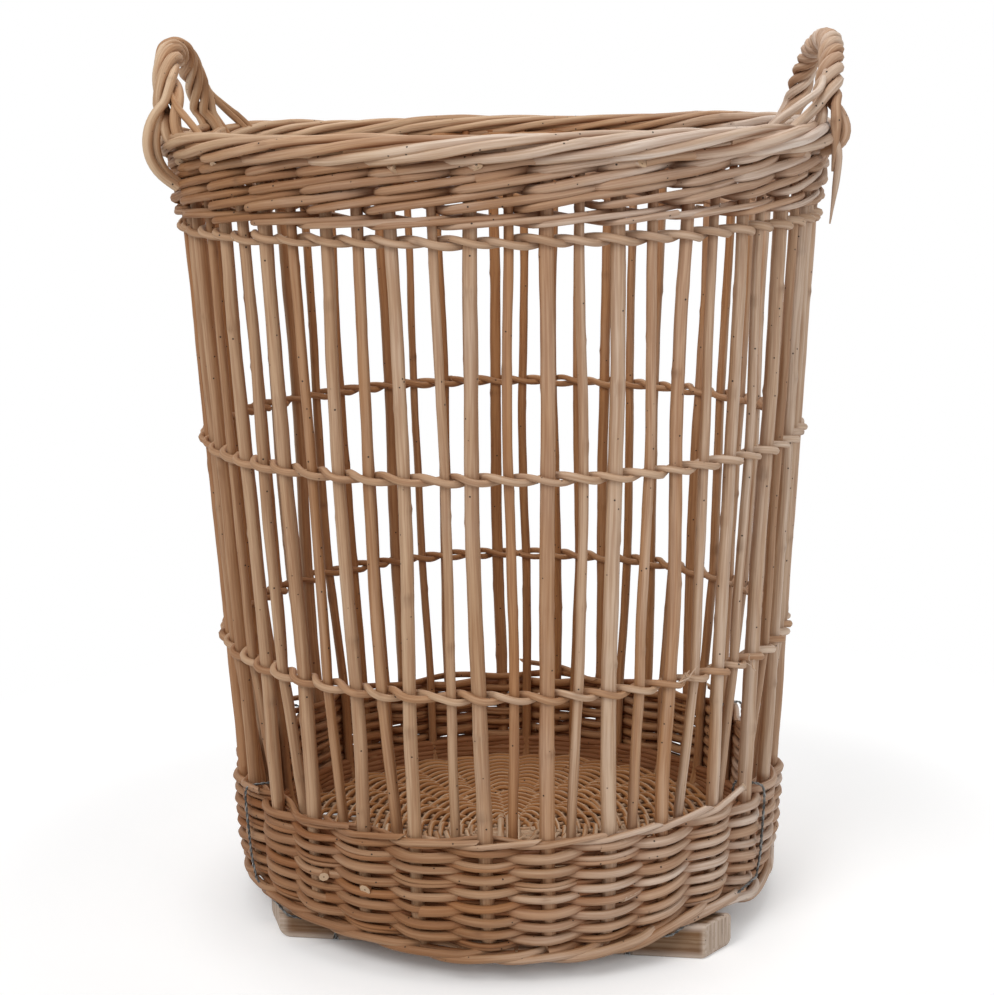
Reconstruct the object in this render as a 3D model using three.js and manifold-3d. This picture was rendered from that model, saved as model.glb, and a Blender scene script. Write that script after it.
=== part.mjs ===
// Round willow baguette basket: an open cage of stakes between a woven foot band and a waled top,
// with a rolled border, two twisted handles and two wooden runners tied on with wire.
// Millimetres, +Z up. The origin is on the floor, under the middle of the basket.
import * as THREE from 'three';
import { mergeVertices } from 'three/addons/utils/BufferGeometryUtils.js';
import Module from 'manifold-3d';

const wasm = await Module();
wasm.setup();

// Driving dimensions, main body
const STAKE_PAIRS = 29;
const STAKES_TURN = THREE.MathUtils.degToRad(1.1);
const FOOT_RADIUS = 202;
const BULGE = 9;
const TOP_ROW_RADIUS = 238.5;
const BULGE_HEIGHT = 60;
const LOW_ROW_HEIGHT = 221;
const MIDDLE_ROW_HEIGHT = 379;
const TOP_ROW_HEIGHT = 543;
const BAND_HEIGHT = 87;
const BAND_TURNS = 12;
const BAND_SAG = 14.5;
const WALE_TURNS = 4;
const WALE_PITCH = 7.8;

// Driving dimensions, rod thicknesses
const STAKE_FOOT_DIAMETER = 10.6;
const STAKE_TOP_DIAMETER = 9;
const STAKE_TIP_DIAMETER = 6.6;
const SIDE_STAKE_DIAMETER = 7.4;
const BAND_ROD_DIAMETER = 6;
const FITCH_ROD_DIAMETER = 4.8;
const WALE_ROD_DIAMETER = 6.2;

// Driving dimensions, border and handles
const BORDER_WIDTH = 28;
const BORDER_DEPTH = 20;
const BORDER_OVERHANG = 20.5;
const BORDER_RODS = 5;
const BORDER_LAYS = 4;
const HANDLE_RISE = 67;
const HANDLE_HALF_SPAN = THREE.MathUtils.degToRad(21.9);
const HANDLE_ROD_DIAMETER = 9.6;
const HANDLE_RODS = 3;
const HANDLE_TUCK = 12;
const HANDLE_SPLAY = 8;
const HANDLE_LEAN = 4;
const HANDLE_SQUARENESS = 0.8;
const LEFT_HANDLE_TWISTS = 2;
const RIGHT_HANDLE_TWISTS = 3;
const LEFT_BRACE_REACH = THREE.MathUtils.degToRad(11);
const RIGHT_BRACE_REACH = THREE.MathUtils.degToRad(15);
const BRACE_ROD_DIAMETER = 6.4;
const BRACE_HEIGHT = 43;
const LOOSE_END_LENGTH = 60;

// Driving dimensions, base, runners and ties
const BASE_THICKNESS = 8;
const BASE_ROWS = 9;
const BASE_RIBS = 28;
const BASE_RELIEF = 3.2;
const BASE_STICK_DIAMETER = 5;
const BASE_STICK_SPACING = 13;
const BASE_STICKS_EACH_WAY = 3;
const RUNNER_HEIGHT = 27;
const RUNNER_WIDTH = 28;
const RUNNER_FACE_SHARE = 0.728;
const RUNNER_OVERHANG = 26;
const RUNNER_END_SLANT = 17;
const RUNNER_SHIFT = 7;
const RUNNER_CORNER_RADIUS = 11;
const RUNNER_TURN = THREE.MathUtils.degToRad(-9.2);
const WIRE_DIAMETER = 2.8;
const TIE_RUNNER_SHARE = 0.5575;
const TIE_TAIL = 24;
const TIE_BEND = 6;
const TIE_CORNER_ANGLE = 43;
const TIE_CORNER_TURN = 4;
const TIES = [
  { name: 'front_left_tie', degrees: 209, sideways: -1, turn: 0 },
  { name: 'front_right_tie', degrees: -30, sideways: 1, turn: 0 },
  { name: 'back_right_tie', degrees: 29, sideways: -1, turn: Math.PI },
  { name: 'back_left_tie', degrees: 150, sideways: 1, turn: Math.PI },
];

// Clearances: between pieces that touch, and where a rod or wire bends over another piece
const FIT = 0.3;
const BEND_ROOM = 1;

// Derived sizes
const STAKES = 2 * STAKE_PAIRS;
const PAIR_STEP = (2 * Math.PI) / STAKE_PAIRS;
const STAKE_STEP = (2 * Math.PI) / STAKES;
const FRONT = STAKES_TURN - Math.PI / 2;
const stakeFootR = STAKE_FOOT_DIAMETER / 2;
const stakeTopR = STAKE_TOP_DIAMETER / 2;
const stakeTipR = STAKE_TIP_DIAMETER / 2;
const sideR = SIDE_STAKE_DIAMETER / 2;
const bandR = BAND_ROD_DIAMETER / 2;
const fitchR = FITCH_ROD_DIAMETER / 2;
const waleR = WALE_ROD_DIAMETER / 2;
const wireR = WIRE_DIAMETER / 2;
const bandFloor = RUNNER_HEIGHT + FIT;
const bandTop = bandFloor + BAND_HEIGHT;
const fitchRise = fitchR * 1.75;
const fitchDrop = fitchR;
const waleLow = TOP_ROW_HEIGHT + fitchRise + fitchR + FIT + waleR;
const waleTop = waleLow + WALE_TURNS * WALE_PITCH + waleR;
const tipHeight = waleTop + FIT + stakeTipR + BEND_ROOM;
const borderHalfWidth = BORDER_WIDTH / 2;
const borderHalfDepth = BORDER_DEPTH / 2;
const runnerFace = FOOT_RADIUS * RUNNER_FACE_SHARE;
const runnerBack = runnerFace - RUNNER_WIDTH;
const tieRunnerX = FOOT_RADIUS * TIE_RUNNER_SHARE;
const bulgeRadius = FOOT_RADIUS + BULGE;

// Shades of dry willow, weathered wood and dull wire
const willow = (name, color) => new THREE.MeshStandardMaterial({ name, color, roughness: 0.68 });
const stakeWillow = willow('stake_willow', 0xa8866a);
const weaverWillow = willow('weaver_willow', 0xaf9070);
const borderWillow = willow('border_willow', 0xb4967a);
const baseWillow = willow('base_willow', 0xa57b50);
const runnerWood = new THREE.MeshStandardMaterial({ name: 'runner_wood', color: 0x8a7664, roughness: 0.85 });
const dullWire = new THREE.MeshStandardMaterial({
  name: 'dull_wire', color: 0x5a5b60, roughness: 0.5, metalness: 0.85,
});

const basket = new THREE.Group();

function polar(radius, angle, z) {
  return new THREE.Vector3(radius * Math.cos(angle), radius * Math.sin(angle), z);
}

function addPiece(name, geometry, material) {
  geometry.computeVertexNormals();
  const mesh = new THREE.Mesh(geometry, material);
  mesh.name = name;
  basket.add(mesh);
  return mesh;
}

// The ring on which the stakes stand, at a height: two straight slopes that meet at the bulge of the
// foot band.
function stakeRing(z) {
  if (z < BULGE_HEIGHT) {
    return THREE.MathUtils.mapLinear(z, bandFloor, BULGE_HEIGHT, FOOT_RADIUS, bulgeRadius);
  }
  return THREE.MathUtils.mapLinear(z, BULGE_HEIGHT, TOP_ROW_HEIGHT, bulgeRadius, TOP_ROW_RADIUS);
}

// A main stake's half thickness at a height, thick at the foot and thinner at the top.
function stakeRadius(z) {
  return THREE.MathUtils.mapLinear(z, bandFloor, waleTop, stakeFootR, stakeTopR);
}

// One rod: a section of the given sides swept along the points, with a radius for each point.
// With a hint, the section keeps one corner towards it, otherwise it is carried along without twist.
function sweepRod(points, radii, sides, { closed = false, hint = null } = {}) {
  const count = points.length;
  const positions = [];
  const indices = [];
  let normal = new THREE.Vector3();
  for (let i = 0; i < count; i += 1) {
    const before = closed ? points[(i + count - 1) % count] : points[Math.max(i - 1, 0)];
    const after = closed ? points[(i + 1) % count] : points[Math.min(i + 1, count - 1)];
    const tangent = after.clone().sub(before).normalize();
    const guide = hint ? hint.clone() : normal.clone();
    if (guide.lengthSq() === 0) {
      guide.set(tangent.y, tangent.z, tangent.x);
    }
    normal = guide.addScaledVector(tangent, -guide.dot(tangent)).normalize();
    const side = new THREE.Vector3().crossVectors(tangent, normal);
    const radius = Array.isArray(radii) ? radii[i] : radii;
    for (let s = 0; s < sides; s += 1) {
      const angle = (2 * Math.PI * s) / sides;
      const corner = points[i].clone();
      corner.addScaledVector(normal, radius * Math.cos(angle));
      corner.addScaledVector(side, radius * Math.sin(angle));
      positions.push(corner.x, corner.y, corner.z);
    }
  }
  const spans = closed ? count : count - 1;
  for (let i = 0; i < spans; i += 1) {
    const here = i * sides;
    const next = ((i + 1) % count) * sides;
    for (let s = 0; s < sides; s += 1) {
      const t = (s + 1) % sides;
      indices.push(here + s, here + t, next + t);
      indices.push(here + s, next + t, next + s);
    }
  }
  if (!closed) {
    const last = (count - 1) * sides;
    for (let s = 1; s < sides - 1; s += 1) {
      indices.push(0, s + 1, s);
      indices.push(last, last + s, last + s + 1);
    }
  }
  const geometry = new THREE.BufferGeometry();
  geometry.setAttribute('position', new THREE.Float32BufferAttribute(positions, 3));
  geometry.setIndex(indices);
  return geometry;
}

// Joins and cuts
function toSolid(geometry) {
  const mesh = new wasm.Mesh({
    numProp: 3,
    vertProperties: new Float32Array(geometry.attributes.position.array),
    triVerts: new Uint32Array(geometry.index.array),
  });
  mesh.merge();
  return new wasm.Manifold(mesh);
}

function fromSolid(solid) {
  const mesh = solid.getMesh();
  const geometry = new THREE.BufferGeometry();
  geometry.setAttribute('position', new THREE.BufferAttribute(new Float32Array(mesh.vertProperties), 3));
  geometry.setIndex(new THREE.BufferAttribute(new Uint32Array(mesh.triVerts), 1));
  return geometry;
}

// A closed geometry as a solid, with its shared corners merged, moved by an offset.
function weldedSolid(geometry, x = 0, y = 0, z = 0) {
  const plain = geometry.clone();
  plain.deleteAttribute('normal');
  plain.deleteAttribute('uv');
  plain.translate(x, y, z);
  return toSolid(mergeVertices(plain, 1e-3));
}

// How far in front of a stake a rod passes, so that its slope to the next stake clears both of them.
// The bend of the ring takes clearance away outside the stakes and gives it back inside.
function passOffset(clearance, widestClearance, pitch, ringStep, side) {
  const slope = Math.asin((2 * widestClearance) / pitch);
  return clearance / Math.cos(slope + (side * ringStep) / 2);
}

// The foot band droops a little where the base reaches out beyond the runners, from the next stake on.
const SAG_START_STAKES = 1.3;

function bandEdge(angle) {
  const across = Math.abs(FOOT_RADIUS * Math.sin(angle - RUNNER_TURN));
  const start = runnerFace + FOOT_RADIUS * STAKE_STEP * SAG_START_STAKES;
  const share = Math.max(0, (across - start) / (FOOT_RADIUS - start));
  return bandFloor - BAND_SAG * share;
}

const mainAngle = (j) => FRONT + (j + 0.5) * PAIR_STEP;
const sideAngle = (j) => FRONT + j * PAIR_STEP;

// Foot band: rods woven in front of one main stake and behind the next, in one rising spiral.
const bandClear = stakeFootR + bandR + FIT;
const bandPitch = FOOT_RADIUS * PAIR_STEP;
const bandOut = passOffset(bandClear, bandClear, bandPitch, PAIR_STEP, 1);
const bandIn = passOffset(bandClear, bandClear, bandPitch, PAIR_STEP, -1);

function bandPoint(index) {
  const angle = mainAngle(index);
  const turn = index / STAKE_PAIRS;
  const low = bandEdge(angle) + bandR;
  const high = bandTop - bandR;
  const z = low + ((high - low) * turn) / BAND_TURNS;
  const outside = index % 2 === 0;
  return polar(stakeRing(z) + (outside ? bandOut : -bandIn), angle, z);
}

// Two rods that follow each other in a spiral end short of their common stake by this share of a step.
const SPIRAL_TRIM = 0.07;

function spiralRod(name, first, last, pointAt, radius, material, needed = () => true) {
  const points = [];
  for (let i = first; i <= last; i += 1) {
    if (i === first || i === last || needed(i)) {
      points.push(pointAt(i));
    }
  }
  points[0].lerp(points[1], SPIRAL_TRIM);
  points[points.length - 1].lerp(points[points.length - 2], SPIRAL_TRIM);
  const geometry = sweepRod(points, radius, 4, { hint: new THREE.Vector3(0, 0, 1) });
  return addPiece(name, geometry, material);
}

const BAND_PIECES = 3;
const bandRun = (BAND_TURNS * STAKE_PAIRS) / BAND_PIECES;
for (let n = 0; n < BAND_PIECES; n += 1) {
  spiralRod(`foot_band_rod_${n + 1}`, n * bandRun, (n + 1) * bandRun, bandPoint, bandR, weaverWillow);
}

// Stakes: each main stake stands from the foot band to the rim, where its tip is bent over and laid on
// the top of the side stake beside it. The side stakes stand inside the foot band.
const ringSag = FOOT_RADIUS * (1 - Math.cos(PAIR_STEP / 2));
const bandSlope = Math.asin((2 * bandClear) / bandPitch);
const sideInset = (sideR + bandR + FIT) / Math.cos(bandSlope) + ringSag;
const bulgeLean = Math.atan2(bulgeRadius - FOOT_RADIUS, BULGE_HEIGHT - bandFloor);
const footLift = FIT + stakeFootR * Math.sin(bulgeLean);
const BENT_TIP_SWELL = 1.2;
const bentTipR = stakeTipR * BENT_TIP_SWELL;
const TIP_BEND_SHARE = 0.25;

function stakePair(j) {
  const angle = mainAngle(j);
  const beside = sideAngle(j + 1);
  const footZ = bandEdge(angle) + footLift;
  const sideFootZ = bandEdge(beside) + footLift;
  const bendZ = waleTop - waleR;
  const rimRing = stakeRing(tipHeight);
  const path = [
    { at: polar(stakeRing(footZ), angle, footZ), radius: stakeFootR },
    { at: polar(bulgeRadius, angle, BULGE_HEIGHT), radius: stakeRadius(BULGE_HEIGHT) },
    { at: polar(stakeRing(bendZ), angle, bendZ), radius: stakeRadius(bendZ) },
    { at: polar(rimRing, angle + STAKE_STEP * TIP_BEND_SHARE, tipHeight), radius: bentTipR },
    { at: polar(rimRing, beside, tipHeight), radius: bentTipR },
    { at: polar(stakeRing(LOW_ROW_HEIGHT), beside, LOW_ROW_HEIGHT), radius: sideR },
    { at: polar(stakeRing(bandTop) - sideInset, beside, bandTop), radius: sideR },
    { at: polar(bulgeRadius - sideInset, beside, BULGE_HEIGHT), radius: sideR },
    { at: polar(stakeRing(sideFootZ) - sideInset, beside, sideFootZ), radius: sideR },
  ];
  const points = path.map(({ at }) => at);
  const radii = path.map(({ radius }) => radius);
  const geometry = sweepRod(points, radii, 5, { hint: polar(1, angle, 0) });
  return addPiece(`stake_pair_${j + 1}`, geometry, stakeWillow);
}

for (let j = 0; j < STAKE_PAIRS; j += 1) {
  stakePair(j);
}

// Fitched rows: two rods that twist round each other once between every two stakes.
function fitchRod(name, z, phase) {
  const ring = stakeRing(z);
  const pitch = ring * STAKE_STEP;
  const mainClear = stakeRadius(z) + fitchR + FIT;
  const sideClear = sideR + fitchR + FIT;
  const points = [];
  for (let k = 0; k < STAKES; k += 1) {
    const atMain = k % 2 === 1;
    const angle = FRONT + k * STAKE_STEP;
    const clear = atMain ? mainClear : sideClear;
    if ((k + phase) % 2 === 0) {
      const out = passOffset(clear, mainClear, pitch, STAKE_STEP, 1);
      points.push(polar(ring + out, angle, z));
    } else {
      const inward = passOffset(clear, mainClear, pitch, STAKE_STEP, -1);
      points.push(polar(ring - inward, angle, z - fitchDrop));
      points.push(polar(ring, angle + STAKE_STEP / 2, z + fitchRise));
    }
  }
  const geometry = sweepRod(points, fitchR, 4, { closed: true, hint: new THREE.Vector3(0, 0, 1) });
  return addPiece(name, geometry, weaverWillow);
}

const rows = { low: LOW_ROW_HEIGHT, middle: MIDDLE_ROW_HEIGHT, top: TOP_ROW_HEIGHT };
for (const [row, z] of Object.entries(rows)) {
  fitchRod(`${row}_fitch_rod_1`, z, 0);
  fitchRod(`${row}_fitch_rod_2`, z, 1);
}

// Wale under the border: rods that pass in front of three stakes and behind the fourth.
const waleRing = stakeRing(waleLow);
const walePitch = waleRing * STAKE_STEP;
const waleClear = stakeRadius(waleLow) + waleR + FIT;
const WALE_STROKE = 4;

function walePoint(index) {
  const angle = FRONT + index * STAKE_STEP;
  const z = waleLow + (WALE_PITCH * index) / STAKES;
  const inside = index % WALE_STROKE === 0;
  const offset = passOffset(waleClear, waleClear, walePitch, STAKE_STEP, inside ? -1 : 1);
  return polar(stakeRing(z) + (inside ? -offset : offset), angle, z);
}

const WALE_PIECES = 2;
const waleRun = (WALE_TURNS * STAKES) / WALE_PIECES;
for (let n = 0; n < WALE_PIECES; n += 1) {
  const bends = (index) => index % WALE_STROKE !== WALE_STROKE / 2;
  spiralRod(`wale_rod_${n + 1}`, n * waleRun, (n + 1) * waleRun, walePoint, waleR, borderWillow, bends);
}

// Rolled border: the rods of the rim laid round each other like a rope, as one twisted ring that sits
// on the bent stake tips and leans out over the wale.
const borderLean = BORDER_OVERHANG - borderHalfWidth;
const borderRing = stakeRing(tipHeight) + borderLean;
const borderSeat = borderHalfDepth * Math.sqrt(1 - (borderLean / borderHalfWidth) ** 2);
const TIP_FLAT_SHARE = 1.12;
const borderZ = tipHeight + stakeTipR * TIP_FLAT_SHARE + FIT + borderSeat;
const BORDER_VALLEY = 0.82;

// The corners of the border's section at an angle round the rim, as shares of its half sizes.
function borderCorners(angle) {
  const corners = [];
  for (let c = 0; c < 2 * BORDER_RODS; c += 1) {
    const turn = (Math.PI * c) / BORDER_RODS - BORDER_LAYS * angle;
    const reach = c % 2 === 0 ? 1 : BORDER_VALLEY;
    corners.push({ out: reach * Math.cos(turn), up: reach * Math.sin(turn) });
  }
  return corners;
}

const borderOuts = (angle) => borderCorners(angle).map(({ out }) => out);
const borderUps = (angle) => borderCorners(angle).map(({ up }) => up);
const borderTop = (angle) => borderZ + borderHalfDepth * Math.max(...borderUps(angle));
const borderFace = (angle) => borderRing + borderHalfWidth * Math.max(...borderOuts(angle));
const borderBack = (angle) => borderRing + borderHalfWidth * Math.min(...borderOuts(angle));

function rolledBorder() {
  const steps = STAKES;
  const corners = 2 * BORDER_RODS;
  const positions = [];
  const indices = [];
  for (let i = 0; i < steps; i += 1) {
    const angle = (2 * Math.PI * i) / steps;
    for (const { out, up } of borderCorners(angle)) {
      const corner = polar(borderRing + borderHalfWidth * out, angle, borderZ + borderHalfDepth * up);
      positions.push(...corner.toArray());
    }
  }
  for (let i = 0; i < steps; i += 1) {
    const here = i * corners;
    const next = ((i + 1) % steps) * corners;
    for (let c = 0; c < corners; c += 1) {
      const d = (c + 1) % corners;
      indices.push(here + c, next + d, here + d);
      indices.push(here + c, next + c, next + d);
    }
  }
  const geometry = new THREE.BufferGeometry();
  geometry.setAttribute('position', new THREE.Float32BufferAttribute(positions, 3));
  geometry.setIndex(indices);
  return addPiece('rolled_border', geometry, borderWillow);
}

rolledBorder();

// Handles: three rods twisted into a rope arch over the rim. At each foot two rods pass outside the
// border and one inside, and all three are tucked along the wale.
const handleRodR = HANDLE_ROD_DIAMETER / 2;
const LAY_SHARE = 1.4;
const handleLay = handleRodR * LAY_SHARE;
const waleFace = (z) => stakeRing(z) + passOffset(waleClear, waleClear, walePitch, STAKE_STEP, 1) + waleR;
const waleBack = (z) => stakeRing(z) - passOffset(waleClear, waleClear, walePitch, STAKE_STEP, -1) - waleR;
const STEPS_PER_TWIST = 7;
const FACE_TOP_SHARE = 0.3;
const FACE_LOW_SHARE = 0.7;

function footPoints(inside, angle) {
  const sign = inside ? -1 : 1;
  const reach = sign * (FIT + handleRodR);
  const pastBorder = (inside ? borderBack(angle) : borderFace(angle)) + reach + sign * FIT;
  const alongWale = (z) => (inside ? waleBack(z) : waleFace(z)) + reach;
  const shoulder = borderRing + sign * (borderHalfWidth - BEND_ROOM);
  const under = waleTop - BEND_ROOM;
  const end = under - HANDLE_TUCK;
  return [
    polar(shoulder, angle, borderZ + borderHalfDepth + handleRodR + BEND_ROOM),
    polar(pastBorder, angle, borderZ + borderHalfDepth * FACE_TOP_SHARE),
    polar(pastBorder, angle, borderZ - borderHalfDepth * FACE_LOW_SHARE),
    polar(alongWale(under), angle, under),
    polar(alongWale(end), angle, end),
  ];
}

// The middle line of a handle: an arch a little squarer than half an ellipse, which follows the curve of
// the rim. Its legs lean outwards halfway up, and its top leans in.
const archTurn = (height) => Math.asin((height / HANDLE_RISE) ** (1 / HANDLE_SQUARENESS));

function archPoint(middle, sweep, u) {
  const along = Math.sign(Math.cos(u)) * Math.abs(Math.cos(u)) ** HANDLE_SQUARENESS;
  const up = Math.sin(u) ** HANDLE_SQUARENESS;
  const radius = borderRing + HANDLE_SPLAY * Math.sin(2 * u) ** 2 - HANDLE_LEAN * Math.sin(u) ** 4;
  return polar(radius, middle - sweep * HANDLE_HALF_SPAN * along, borderZ + HANDLE_RISE * up);
}

function handleRod(name, { middle, sweep, twists }, rodIndex) {
  const phase = Math.PI / 3 + (2 * Math.PI * rodIndex) / HANDLE_RODS;
  const inside = Math.cos(phase) < -0.5;
  const steps = STEPS_PER_TWIST * twists;
  const start = archTurn(borderHalfDepth + handleLay + handleRodR);
  const points = [];
  for (let i = 0; i <= steps; i += 1) {
    const share = i / steps;
    const u = start + (Math.PI - 2 * start) * share;
    const centre = archPoint(middle, sweep, u);
    const ahead = archPoint(middle, sweep, u + 0.01);
    const tangent = ahead.sub(centre).normalize();
    const outward = new THREE.Vector3(centre.x, centre.y, 0).normalize();
    const across = new THREE.Vector3().crossVectors(tangent, outward).normalize();
    const twist = phase + 2 * Math.PI * twists * share;
    centre.addScaledVector(outward, handleLay * Math.cos(twist));
    centre.addScaledVector(across, handleLay * Math.sin(twist));
    points.push(centre);
  }
  const turn = (handleLay * Math.sin(phase)) / borderRing;
  const startFoot = footPoints(inside, middle - sweep * HANDLE_HALF_SPAN + turn).reverse();
  const endFoot = footPoints(inside, middle + sweep * HANDLE_HALF_SPAN - turn);
  const path = [...startFoot, ...points, ...endFoot];
  return addPiece(name, sweepRod(path, handleRodR, 5), borderWillow);
}

// A thin rod laid from one leg of each handle down onto the border: the left handle's back leg and the
// right handle's front leg.
const braceR = BRACE_ROD_DIAMETER / 2;
const BRACE_TAPER = 0.7;

function handleBrace(name, { middle, sweep, braceLeg, braceReach }) {
  const away = sweep * braceLeg;
  const foot = middle + away * HANDLE_HALF_SPAN;
  const rest = foot + away * braceReach;
  const restZ = borderTop(rest) + braceR * BRACE_TAPER + FIT;
  const besideRope = (handleLay + handleRodR + braceR + BEND_ROOM) / borderRing;
  const besideLeg = (height) => {
    const leg = archPoint(0, -1, archTurn(height));
    const radius = Math.hypot(leg.x, leg.y);
    return polar(radius, middle + away * (Math.atan2(leg.y, leg.x) + besideRope), leg.z);
  };
  const points = [
    besideLeg(BRACE_HEIGHT),
    besideLeg(BRACE_HEIGHT * BRACE_TAPER),
    polar(borderRing, foot + away * braceReach * BRACE_TAPER, restZ + braceR),
    polar(borderRing, rest, restZ),
  ];
  const radii = [braceR * BRACE_TAPER, braceR, braceR, braceR * BRACE_TAPER];
  return addPiece(name, sweepRod(points, radii, 5), borderWillow);
}

const handles = [
  {
    side: 'left', middle: Math.PI, sweep: -1, twists: LEFT_HANDLE_TWISTS,
    braceLeg: 1, braceReach: LEFT_BRACE_REACH,
  },
  {
    side: 'right', middle: 0, sweep: 1, twists: RIGHT_HANDLE_TWISTS,
    braceLeg: -1, braceReach: RIGHT_BRACE_REACH,
  },
];
for (const handle of handles) {
  for (let n = 0; n < HANDLE_RODS; n += 1) {
    handleRod(`${handle.side}_handle_rod_${n + 1}`, handle, n);
  }
}
for (const handle of handles) {
  handleBrace(`${handle.side}_handle_brace`, handle);
}

// The pointed end of one rod hangs outside the right handle's front foot.
function looseEnd() {
  const besideFoot = (handleLay + handleRodR + braceR + FIT) / borderRing;
  const angle = -HANDLE_HALF_SPAN - besideFoot;
  const radius = borderFace(angle) + FIT + braceR;
  const top = borderZ + stakeTipR;
  const bend = top - LOOSE_END_LENGTH / 3;
  const tip = top - LOOSE_END_LENGTH;
  const points = [
    polar(radius, angle, top),
    polar(radius - BEND_ROOM, angle, bend),
    polar(radius - 2 * BEND_ROOM, angle, tip),
  ];
  const geometry = sweepRod(points, [braceR, braceR * BRACE_TAPER, braceR / 4], 5);
  return addPiece('right_handle_loose_end', geometry, borderWillow);
}

looseEnd();

// Base: crossed sticks on the runners, which fan out towards the band, under a round floor.
const stickR = BASE_STICK_DIAMETER / 2;
const floorRadius = FOOT_RADIUS - Math.max(bandIn + bandR, sideInset + sideR) - 2 * FIT;
const stickZ = bandFloor + stickR;
const STICK_FAN = 3.4;
const STICK_STRAIGHT_SHARE = 0.3;

function baseSticks() {
  let solid = null;
  for (let way = 0; way < 2; way += 1) {
    for (let n = 0; n < BASE_STICKS_EACH_WAY; n += 1) {
      const offset = (n - (BASE_STICKS_EACH_WAY - 1) / 2) * BASE_STICK_SPACING;
      const reach = floorRadius - 2 * BEND_ROOM;
      const fan = offset * STICK_FAN;
      const along = (x, y) => (way === 0 ? new THREE.Vector3(x, y, stickZ) : new THREE.Vector3(y, x, stickZ));
      const points = [
        along(-Math.sqrt(reach * reach - fan * fan), fan),
        along(-reach * STICK_STRAIGHT_SHARE, offset),
        along(reach * STICK_STRAIGHT_SHARE, offset),
        along(Math.sqrt(reach * reach - fan * fan), fan),
      ];
      const stick = toSolid(sweepRod(points, stickR, 4, { hint: new THREE.Vector3(0, 0, 1) }));
      solid = solid ? solid.add(stick) : stick;
    }
  }
  return addPiece('base_sticks', fromSolid(solid), baseWillow);
}

// The floor's weavers pass over one rib and under the next, and the next row does the opposite.
function baseFloor() {
  const low = stickZ + stickR + FIT;
  const high = low + BASE_THICKNESS;
  const positions = [0, 0, high, 0, 0, low];
  const at = (row, rib) => (row === 0 ? 0 : 2 + (row - 1) * BASE_RIBS + (rib % BASE_RIBS));
  for (let row = 1; row <= BASE_ROWS + 1; row += 1) {
    for (let rib = 0; rib < BASE_RIBS; rib += 1) {
      const radius = floorRadius * Math.min(row / BASE_ROWS, 1);
      const over = (row + rib) % 2 === 0;
      const z = row > BASE_ROWS ? low : high - (over ? 0 : BASE_RELIEF);
      positions.push(...polar(radius, (2 * Math.PI * rib) / BASE_RIBS, z).toArray());
    }
  }
  const indices = [];
  for (let rib = 0; rib < BASE_RIBS; rib += 1) {
    indices.push(0, at(1, rib), at(1, rib + 1));
    indices.push(1, at(BASE_ROWS + 1, rib + 1), at(BASE_ROWS + 1, rib));
    for (let row = 1; row <= BASE_ROWS; row += 1) {
      const [a, b, c, d] = [at(row, rib), at(row + 1, rib), at(row + 1, rib + 1), at(row, rib + 1)];
      const bump = (row + rib) % 2 === 0;
      indices.push(...(bump ? [a, b, d, b, c, d] : [a, b, c, a, c, d]));
    }
  }
  const geometry = new THREE.BufferGeometry();
  geometry.setAttribute('position', new THREE.Float32BufferAttribute(positions, 3));
  geometry.setIndex(indices);
  return addPiece('base_floor', geometry, baseWillow);
}

baseSticks();
baseFloor();

// Runners: weathered battens under the base, longer to one side, their ends cut to its curve and rounded
// below. Shallow saw cuts underneath take the wire.
const sawDepth = WIRE_DIAMETER + 2 * FIT;

function runner(name, turn) {
  const atFace = Math.sqrt(FOOT_RADIUS ** 2 - runnerFace ** 2) + RUNNER_OVERHANG;
  const atBack = atFace + RUNNER_END_SLANT;
  const corner = RUNNER_CORNER_RADIUS;
  const plan = new THREE.Shape();
  plan.moveTo(-atFace, -runnerFace);
  plan.lineTo(atFace, -runnerFace);
  plan.lineTo(atBack, -runnerBack);
  plan.lineTo(-atBack, -runnerBack);
  const batten = new THREE.ExtrudeGeometry(plan, { depth: RUNNER_HEIGHT, bevelEnabled: false });
  const elevation = new THREE.Shape();
  elevation.moveTo(-atBack + corner, 0);
  elevation.lineTo(atBack - corner, 0);
  elevation.absarc(atBack - corner, corner, corner, -Math.PI / 2, 0, false);
  elevation.lineTo(atBack, 2 * RUNNER_HEIGHT);
  elevation.lineTo(-atBack, 2 * RUNNER_HEIGHT);
  elevation.absarc(-atBack + corner, corner, corner, Math.PI, Math.PI * 1.5, false);
  const cheek = new THREE.ExtrudeGeometry(elevation, {
    depth: 2 * runnerFace, bevelEnabled: false, curveSegments: 4,
  });
  cheek.rotateX(Math.PI / 2);
  let solid = weldedSolid(batten).intersect(weldedSolid(cheek));
  for (const x of [-tieRunnerX, tieRunnerX]) {
    const cut = new THREE.BoxGeometry(WIRE_DIAMETER + 4 * FIT, 2 * RUNNER_WIDTH, 2 * sawDepth);
    solid = solid.subtract(weldedSolid(cut, x - RUNNER_SHIFT, -runnerFace + RUNNER_WIDTH / 2, 0));
  }
  const mesh = addPiece(name, fromSolid(solid.translate([RUNNER_SHIFT, 0, 0])), runnerWood);
  mesh.rotation.z = RUNNER_TURN + turn;
  return mesh;
}

runner('front_runner', 0);
runner('back_runner', Math.PI);

// Wire ties: each comes from inside the foot band, goes over its edge and down its outside, then
// passes round a runner in the saw cut and ends behind it.
function betweenStakes(angle) {
  return FRONT + (Math.floor((angle - FRONT) / STAKE_STEP) + 0.5) * STAKE_STEP;
}

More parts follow.
